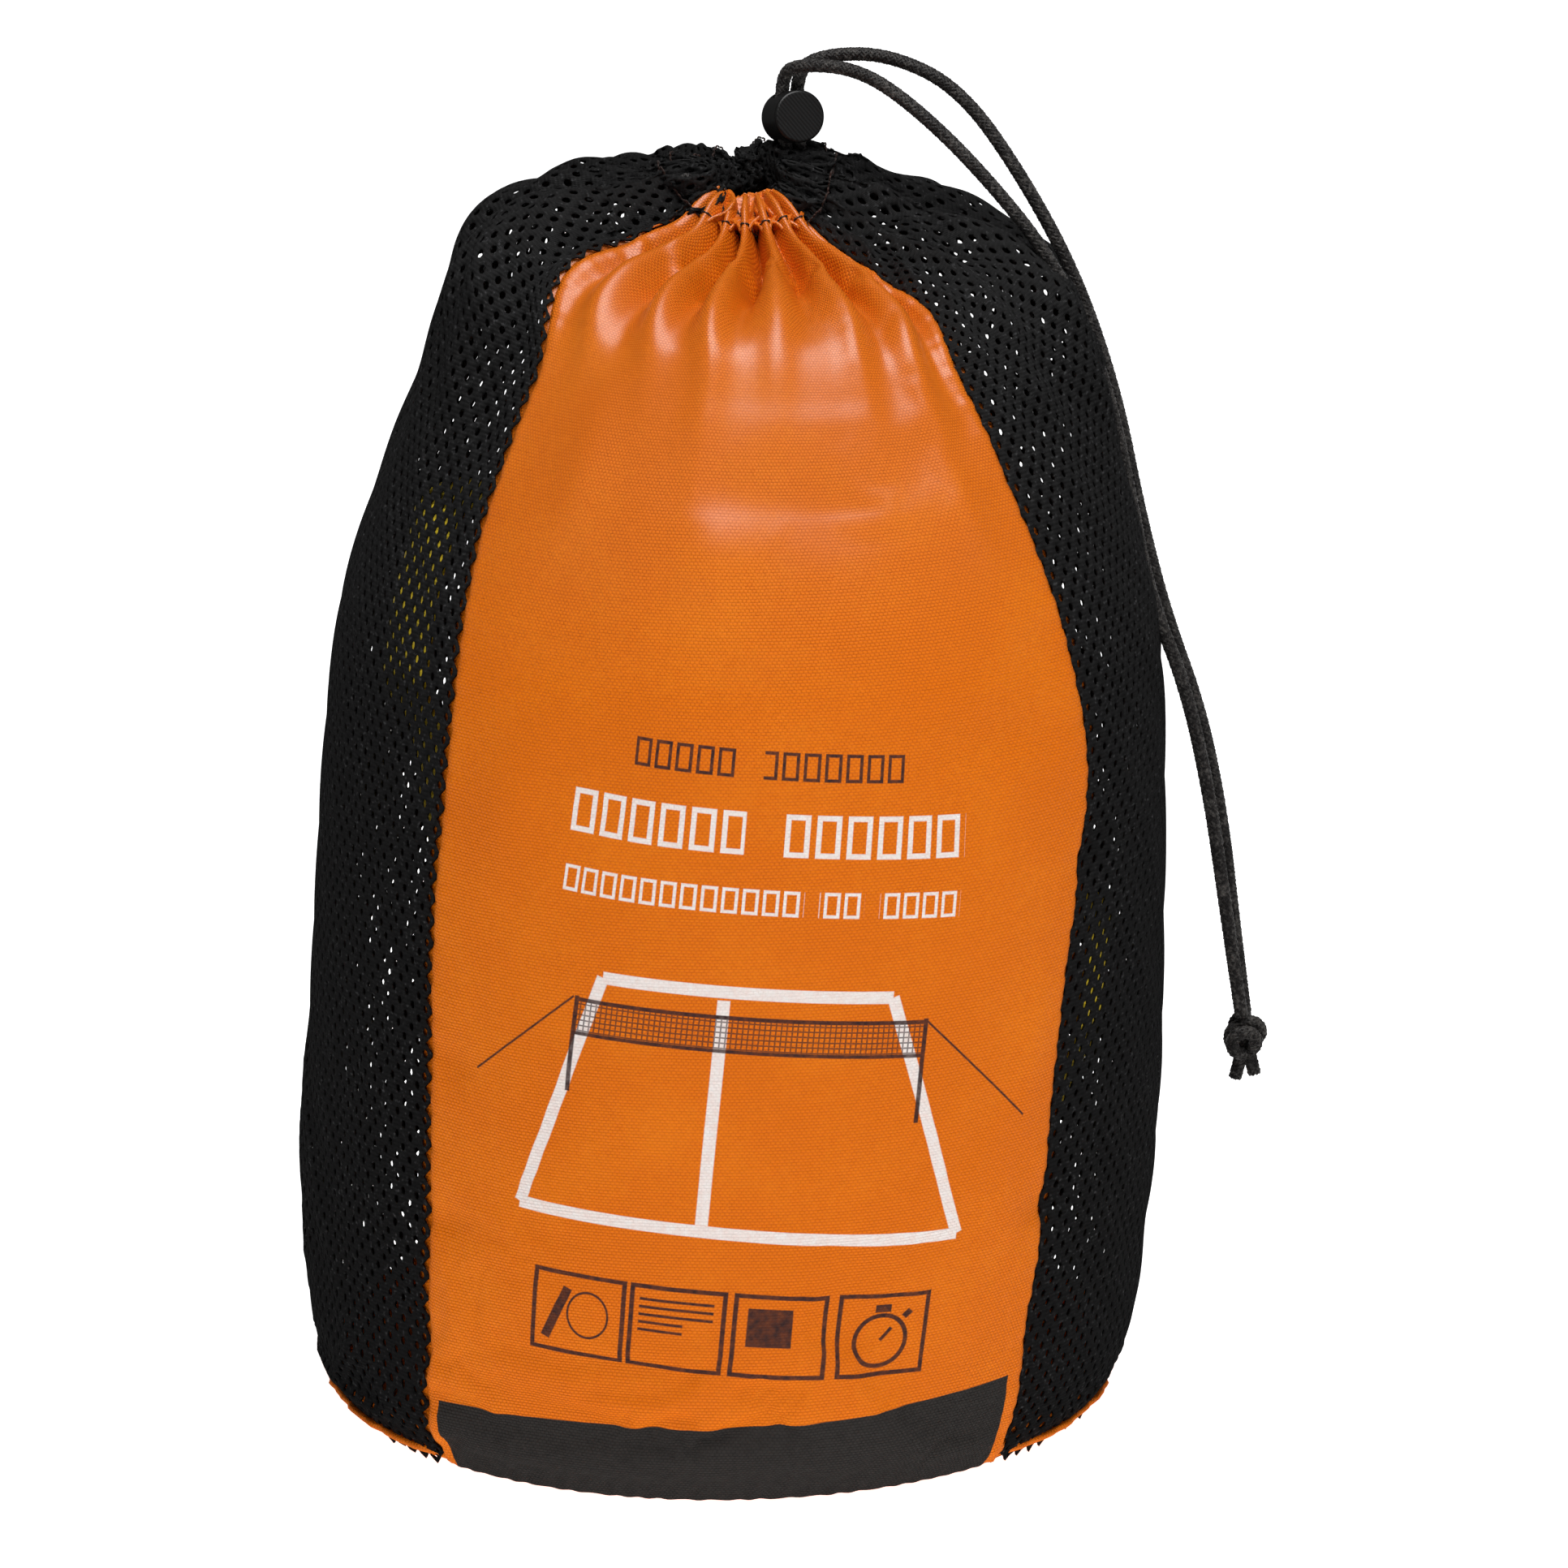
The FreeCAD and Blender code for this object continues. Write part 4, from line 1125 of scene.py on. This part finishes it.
def make_allowances(bag):
    """The folded-in edges of the panels beside the seams."""
    finish = material("orange_cloth")
    width = bag.allowance / FLAT_RADIUS
    for name, node, edge, way in (("LeftSeamAllowance", "left_seam_allowance", LEFT_CUT, -1),
                                  ("RightSeamAllowance", "right_seam_allowance", RIGHT_CUT, 1)):
        mesh, across, up = flat_grid(name, 6, 240)
        inner = edge + way * width * (across if way > 0 else 1 - across)
        height = 0.002 + (CLOTH_HEIGHT - 0.014) * up
        lay_on_cloth(mesh, inner, height, -0.0016)
        thicken(shown(name, mesh, finish, nodes=[node]), bag.cloth_thickness)
    mesh, across, up = flat_grid("BaseSeamAllowance", 360, 6)
    around = LEFT_CUT + 2 * math.pi * across
    height = 0.0005 + 0.0055 * up
    lay_on_cloth(mesh, around, height, -0.0021)
    bm = bmesh.new()
    bm.from_mesh(mesh)
    bmesh.ops.remove_doubles(bm, verts=bm.verts, dist=2e-5)
    bm.to_mesh(mesh)
    bm.free()
    thicken(shown("BaseSeamAllowance", mesh, finish, nodes=["base_seam_allowance"]),
            bag.cloth_thickness)


def stitches(name, node, around, height, lift, bag, count):
    """A row of stitches along a line on the cloth: short threads that dip in at both ends."""
    lines = []
    for number in range(count):
        share = (number + np.linspace(0.06, 0.94, 7)) / count
        rise = np.sin(np.linspace(0.0, math.pi, 7)) * bag.thread_thickness * 0.9 - bag.thread_thickness * 0.7
        lines.append(cloth().points(around(share), height(share), lift + rise))
    mesh = tubes(name, lines, bag.thread_thickness / 2, 1)
    shown(name, mesh, material("dark_thread"), nodes=[node])


def make_threads(bag):
    """The rows of stitching: tunnel, both side seams and base."""
    stitches("TunnelThread", "tunnel_thread", lambda share: LEFT_CUT + FULL_TURN * share,
             lambda share: CLOTH_HEIGHT - 0.011 + 0.0006 * np.sin(share * 40), 0.0006, bag, 250)
    shift = 0.0018 / FLAT_RADIUS
    for name, node, place in (("LeftSeamThread", "left_seam_thread", LEFT_CUT - shift),
                              ("RightSeamThread", "right_seam_thread", RIGHT_CUT + shift)):
        stitches(name, node, lambda share: place + share * 0,
                 lambda share: 0.004 + (CLOTH_HEIGHT - 0.018) * share, -0.0022, bag, 120)
    stitches("BaseSeamThread", "base_seam_thread", lambda share: LEFT_CUT + FULL_TURN * share,
             lambda share: 0.0035 + share * 0, -0.0028, bag, 220)


# Name, node, direction from the bag's axis in degrees, width, the stretch that lies against the net (from
# and to, in metres along the webbing), and the route as radius and height in millimetres.
WEBBING = [
    ("LeftWebbingLine", "left_webbing_line", 213.0, 0.020, (0.178, 0.236),
     [(58, 1.7), (68, 90), (90, 192), (88.6, 218), (84, 232), (76, 238), (68, 234), (64, 205), (61, 120)]),
    ("RightWebbingLine", "right_webbing_line", -35.0, 0.009, (0.098, 0.138),
     [(62, 1.7), (80, 55), (99.5, 112), (100.5, 137), (94, 146), (84, 146.5), (76, 120), (66, 60)]),
]


WEBBING_THICKNESS = 0.0015
WEBBING_LIFT = -0.0017      # its middle, below the net's face, where it lies against the net
STRAIGHT_SIDE = 14          # rows of the profile in which the height rises steadily


def make_webbing(bag):
    """The two yellow lines stowed inside, each folded over near its top."""
    for name, node, azimuth, width, (start, end), route in WEBBING:
        legs = np.hypot(*np.diff(np.array(route, float), axis=0).T)
        run = np.concatenate([[0.0], np.cumsum(legs)])
        mesh, across, up = flat_grid(name, 12, 150)
        radius = smooth_table(list(zip(run, [place[0] for place in route])), up * run[-1])
        level = smooth_table(list(zip(run, [place[1] for place in route])), up * run[-1])
        angle = math.radians(azimuth)
        side = (across - 0.5) * width
        wave = np.sin(up * 9.0) * 0.6
        x = (radius + wave) * MM * math.cos(angle) - side * math.sin(angle) + lean_at(level * MM)
        y = (radius + wave) * MM * math.sin(angle) + side * math.cos(angle)
        free = np.stack([x, y, FLOOR + level * MM], axis=-1)
        height = np.interp(level * MM, PROFILE[:STRAIGHT_SIDE, 1], PROFILE_ARC[:STRAIGHT_SIDE])
        pressed = cloth().points(angle - 1.5 * math.pi + side / FLAT_RADIUS, height, WEBBING_LIFT)
        along = up * run[-1] * MM
        share = eased((along - start) / 0.02) * (1 - eased((along - end) / 0.012))
        places = free + (pressed - free) * share[:, None]
        mesh.vertices.foreach_set("co", places.ravel())
        write_map(mesh, "cloth", np.stack([side, along], axis=-1))
        mesh.update()
        obj = shown(name, mesh, material("yellow_webbing"), nodes=[node])
        thicken(obj, WEBBING_THICKNESS).offset = 0.0


def finish_lock(bag):
    """The cord lock keeps its CAD shapes; only its materials are set."""
    for node, finish in (("lock_barrel", "lock_plastic"), ("lock_plunger", "lock_face"),
                         ("lock_spring", "spring_steel")):
        obj = bpy.data.objects[node]
        obj.data.materials.clear()
        obj.data.materials.append(material(finish))


# ---------------------------------------------------------------------------
# Stage: floor, lights and camera
# ---------------------------------------------------------------------------

def make_camera(stage):
    """The camera, at the height and distance the bag is seen from."""
    data = bpy.data.cameras.new("Camera")
    camera = bpy.data.objects.new("Camera", data)
    bpy.context.collection.objects.link(camera)
    data.angle = math.radians(stage.camera_angle)
    data.clip_start, data.clip_end = 0.05, 20.0
    rise = math.radians(stage.camera_rise)
    back = Vector((0.0, -math.cos(rise), math.sin(rise)))
    camera.location = Vector(stage.camera_target) + back * stage.camera_distance
    camera.rotation_euler = (math.pi / 2 - rise, 0.0, 0.0)
    bpy.context.scene.camera = camera


def area_light(name, place, target, size, power):
    """A square soft light aimed at a point."""
    data = bpy.data.lights.new(name, "AREA")
    data.size = size
    data.energy = power
    lamp = bpy.data.objects.new(name, data)
    bpy.context.collection.objects.link(lamp)
    lamp.location = place
    lamp.rotation_euler = (Vector(target) - Vector(place)).to_track_quat("-Z", "Y").to_euler()
    return lamp


def make_stage(stage):
    """A plain pale floor under soft studio light."""
    bm = bmesh.new()
    reach = 30.0        # far enough to fill the view from any side
    corners = [(-reach, -reach), (reach, -reach), (reach, reach), (-reach, reach)]
    bm.faces.new([bm.verts.new((x, y, FLOOR - 0.0004)) for x, y in corners])
    mesh = bpy.data.meshes.new("Floor")
    bm.to_mesh(mesh)
    bm.free()
    floor = bpy.data.objects.new("Floor", mesh)
    bpy.context.collection.objects.link(floor)
    mesh.materials.append(material("pale_floor"))
    floor.visible_glossy = False        # satin cloth would mirror the pale floor
    lamps = [
        area_light("KeyLight", (0.14, -0.42, 1.42), (0.0, 0.0, 0.2), 0.9, stage.key_power),
        area_light("LeftLight", (-1.3, -0.9, 0.7), (0.0, 0.0, 0.15), 0.9, stage.left_power),
        area_light("RightLight", (1.3, -0.8, 0.6), (0.0, 0.0, 0.15), 0.9, stage.right_power),
    ]
    world = bpy.data.worlds.new("studio")
    bpy.context.scene.world = world
    world.use_nodes = True
    background = world.node_tree.nodes["Background"]
    background.inputs["Color"].default_value = (1.0, 1.0, 1.0, 1.0)
    background.inputs["Strength"].default_value = stage.surround
    settings = bpy.context.scene.view_settings
    settings.view_transform = "Standard"
    settings.look = "None"
    settings.exposure = stage.exposure


# ---------------------------------------------------------------------------
# Add-on: settings, operators and panel
# ---------------------------------------------------------------------------

class BallBagSettings(bpy.types.PropertyGroup):
    """Sizes of the bag's cloth, net, cord and thread."""

    cord_diameter: FloatProperty(name="Cord diameter", description="Thickness of the drawcord",
                                 default=0.0035, unit="LENGTH")
    cloth_thickness: FloatProperty(name="Cloth thickness", description="Thickness of the orange cloth",
                                   default=0.00045, unit="LENGTH")
    mesh_thickness: FloatProperty(name="Net thickness", description="Thickness of the black net",
                                  default=0.0006, unit="LENGTH")
    hole_width: FloatProperty(name="Hole width", description="Width of a hole in the net",
                              default=0.0018, unit="LENGTH")
    hole_height: FloatProperty(name="Hole height", description="Height of a hole in the net",
                               default=0.0022, unit="LENGTH")
    allowance: FloatProperty(name="Seam allowance", description="Cloth folded in beside a seam",
                             default=0.005, unit="LENGTH")
    thread_thickness: FloatProperty(name="Thread thickness", description="Thickness of the sewing thread",
                                    default=0.00045, unit="LENGTH")


class BallBagStageSettings(bpy.types.PropertyGroup):
    """Camera and light."""

    camera_target: FloatVectorProperty(name="Camera target", description="Point the camera looks at",
                                       default=(0.0158, 0.0, 0.153), subtype="TRANSLATION")
    camera_distance: FloatProperty(name="Camera distance", description="From the target to the camera",
                                   default=2.6, unit="LENGTH")
    camera_rise: FloatProperty(name="Camera rise", description="Degrees the camera looks down", default=16.5)
    camera_angle: FloatProperty(name="Camera angle", description="Field of view in degrees", default=8.366)
    key_power: FloatProperty(name="Key light", description="Power of the main light in watts", default=18.0)
    left_power: FloatProperty(name="Left light", description="Power of the light at the left in watts",
                              default=0.5)
    right_power: FloatProperty(name="Right light", description="Power of the light at the right in watts",
                               default=0.5)
    surround: FloatProperty(name="Surround", description="Strength of the white surroundings", default=0.06)
    exposure: FloatProperty(name="Exposure", description="Brightness of the view, in stops", default=0.0)


class BagPiece:
    """What every operator of the bag shares."""

    bl_options = {"REGISTER", "UNDO"}
    make = None

    def execute(self, context):
        type(self).make(context.scene.ball_bag)
        return {"FINISHED"}


class BALLBAG_OT_cords(BagPiece, bpy.types.Operator):
    """Make the two cord tails and their knot"""

    bl_idname = "ball_bag.cords"
    bl_label = "Cord Tails"
    make = staticmethod(make_cords)


class BALLBAG_OT_drawcord(BagPiece, bpy.types.Operator):
    """Make the drawcord inside the tunnel"""

    bl_idname = "ball_bag.drawcord"
    bl_label = "Drawcord"
    make = staticmethod(make_drawcord)


class BALLBAG_OT_front_panel(BagPiece, bpy.types.Operator):
    """Make the printed front panel"""

    bl_idname = "ball_bag.front_panel"
    bl_label = "Front Panel"
    make = staticmethod(make_front_panel)


class BALLBAG_OT_front_hem(BagPiece, bpy.types.Operator):
    """Make the front panel's folded hem"""

    bl_idname = "ball_bag.front_hem"
    bl_label = "Front Hem"
    make = staticmethod(make_front_hem)


class BALLBAG_OT_mesh_body(BagPiece, bpy.types.Operator):
    """Make the net round the sides and back"""

    bl_idname = "ball_bag.mesh_body"
    bl_label = "Net Body"
    make = staticmethod(make_mesh_body)


class BALLBAG_OT_mesh_hem(BagPiece, bpy.types.Operator):
    """Make the net's folded hem"""

    bl_idname = "ball_bag.mesh_hem"
    bl_label = "Net Hem"
    make = staticmethod(make_mesh_hem)


class BALLBAG_OT_base_panel(BagPiece, bpy.types.Operator):
    """Make the round base"""

    bl_idname = "ball_bag.base_panel"
    bl_label = "Base Panel"
    make = staticmethod(make_base_panel)


class BALLBAG_OT_allowances(BagPiece, bpy.types.Operator):
    """Make the seam allowances inside"""

    bl_idname = "ball_bag.allowances"
    bl_label = "Seam Allowances"
    make = staticmethod(make_allowances)


class BALLBAG_OT_threads(BagPiece, bpy.types.Operator):
    """Make the rows of stitching"""

    bl_idname = "ball_bag.threads"
    bl_label = "Stitching"
    make = staticmethod(make_threads)


class BALLBAG_OT_webbing(BagPiece, bpy.types.Operator):
    """Make the yellow webbing stowed inside"""

    bl_idname = "ball_bag.webbing"
    bl_label = "Webbing"
    make = staticmethod(make_webbing)


class BALLBAG_OT_lock(BagPiece, bpy.types.Operator):
    """Give the cord lock its materials"""

    bl_idname = "ball_bag.lock"
    bl_label = "Cord Lock"
    make = staticmethod(finish_lock)


class BALLBAG_OT_stage(bpy.types.Operator):
    """Make the floor and the lights"""

    bl_idname = "ball_bag.stage"
    bl_label = "Stage"
    bl_options = {"REGISTER", "UNDO"}

    def execute(self, context):
        make_stage(context.scene.ball_bag_stage)
        return {"FINISHED"}


class BALLBAG_OT_camera(bpy.types.Operator):
    """Make the camera"""

    bl_idname = "ball_bag.camera"
    bl_label = "Camera"
    bl_options = {"REGISTER", "UNDO"}

    def execute(self, context):
        make_camera(context.scene.ball_bag_stage)
        return {"FINISHED"}


OPERATORS = (
    BALLBAG_OT_camera, BALLBAG_OT_cords, BALLBAG_OT_drawcord, BALLBAG_OT_front_panel, BALLBAG_OT_front_hem,
    BALLBAG_OT_mesh_body, BALLBAG_OT_mesh_hem, BALLBAG_OT_base_panel, BALLBAG_OT_allowances,
    BALLBAG_OT_threads, BALLBAG_OT_webbing, BALLBAG_OT_lock, BALLBAG_OT_stage,
)


class BALLBAG_PT_panel(bpy.types.Panel):
    """The bag's settings and the buttons that make its pieces"""

    bl_label = "Mesh Ball Bag"
    bl_idname = "BALLBAG_PT_panel"
    bl_space_type = "VIEW_3D"
    bl_region_type = "UI"
    bl_category = "Ball Bag"

    def draw(self, context):
        layout = self.layout
        for settings in (context.scene.ball_bag, context.scene.ball_bag_stage):
            box = layout.box()
            for name in settings.bl_rna.properties.keys():
                if name not in ("rna_type", "name"):
                    box.prop(settings, name)
        for operator in OPERATORS:
            layout.operator(operator.bl_idname)


CLASSES = (BallBagSettings, BallBagStageSettings, *OPERATORS, BALLBAG_PT_panel)


def register():
    """Makes the settings, operators and panel known to Blender."""
    for item in CLASSES:
        bpy.utils.register_class(item)
    bpy.types.Scene.ball_bag = PointerProperty(type=BallBagSettings)
    bpy.types.Scene.ball_bag_stage = PointerProperty(type=BallBagStageSettings)


def unregister():
    """Takes them out again."""
    del bpy.types.Scene.ball_bag_stage
    del bpy.types.Scene.ball_bag
    for item in reversed(CLASSES):
        bpy.utils.unregister_class(item)


def main():
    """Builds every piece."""
    register()
    for operator in OPERATORS:
        group, action = operator.bl_idname.split(".")
        getattr(getattr(bpy.ops, group), action)()


if __name__ == "__main__":
    main()
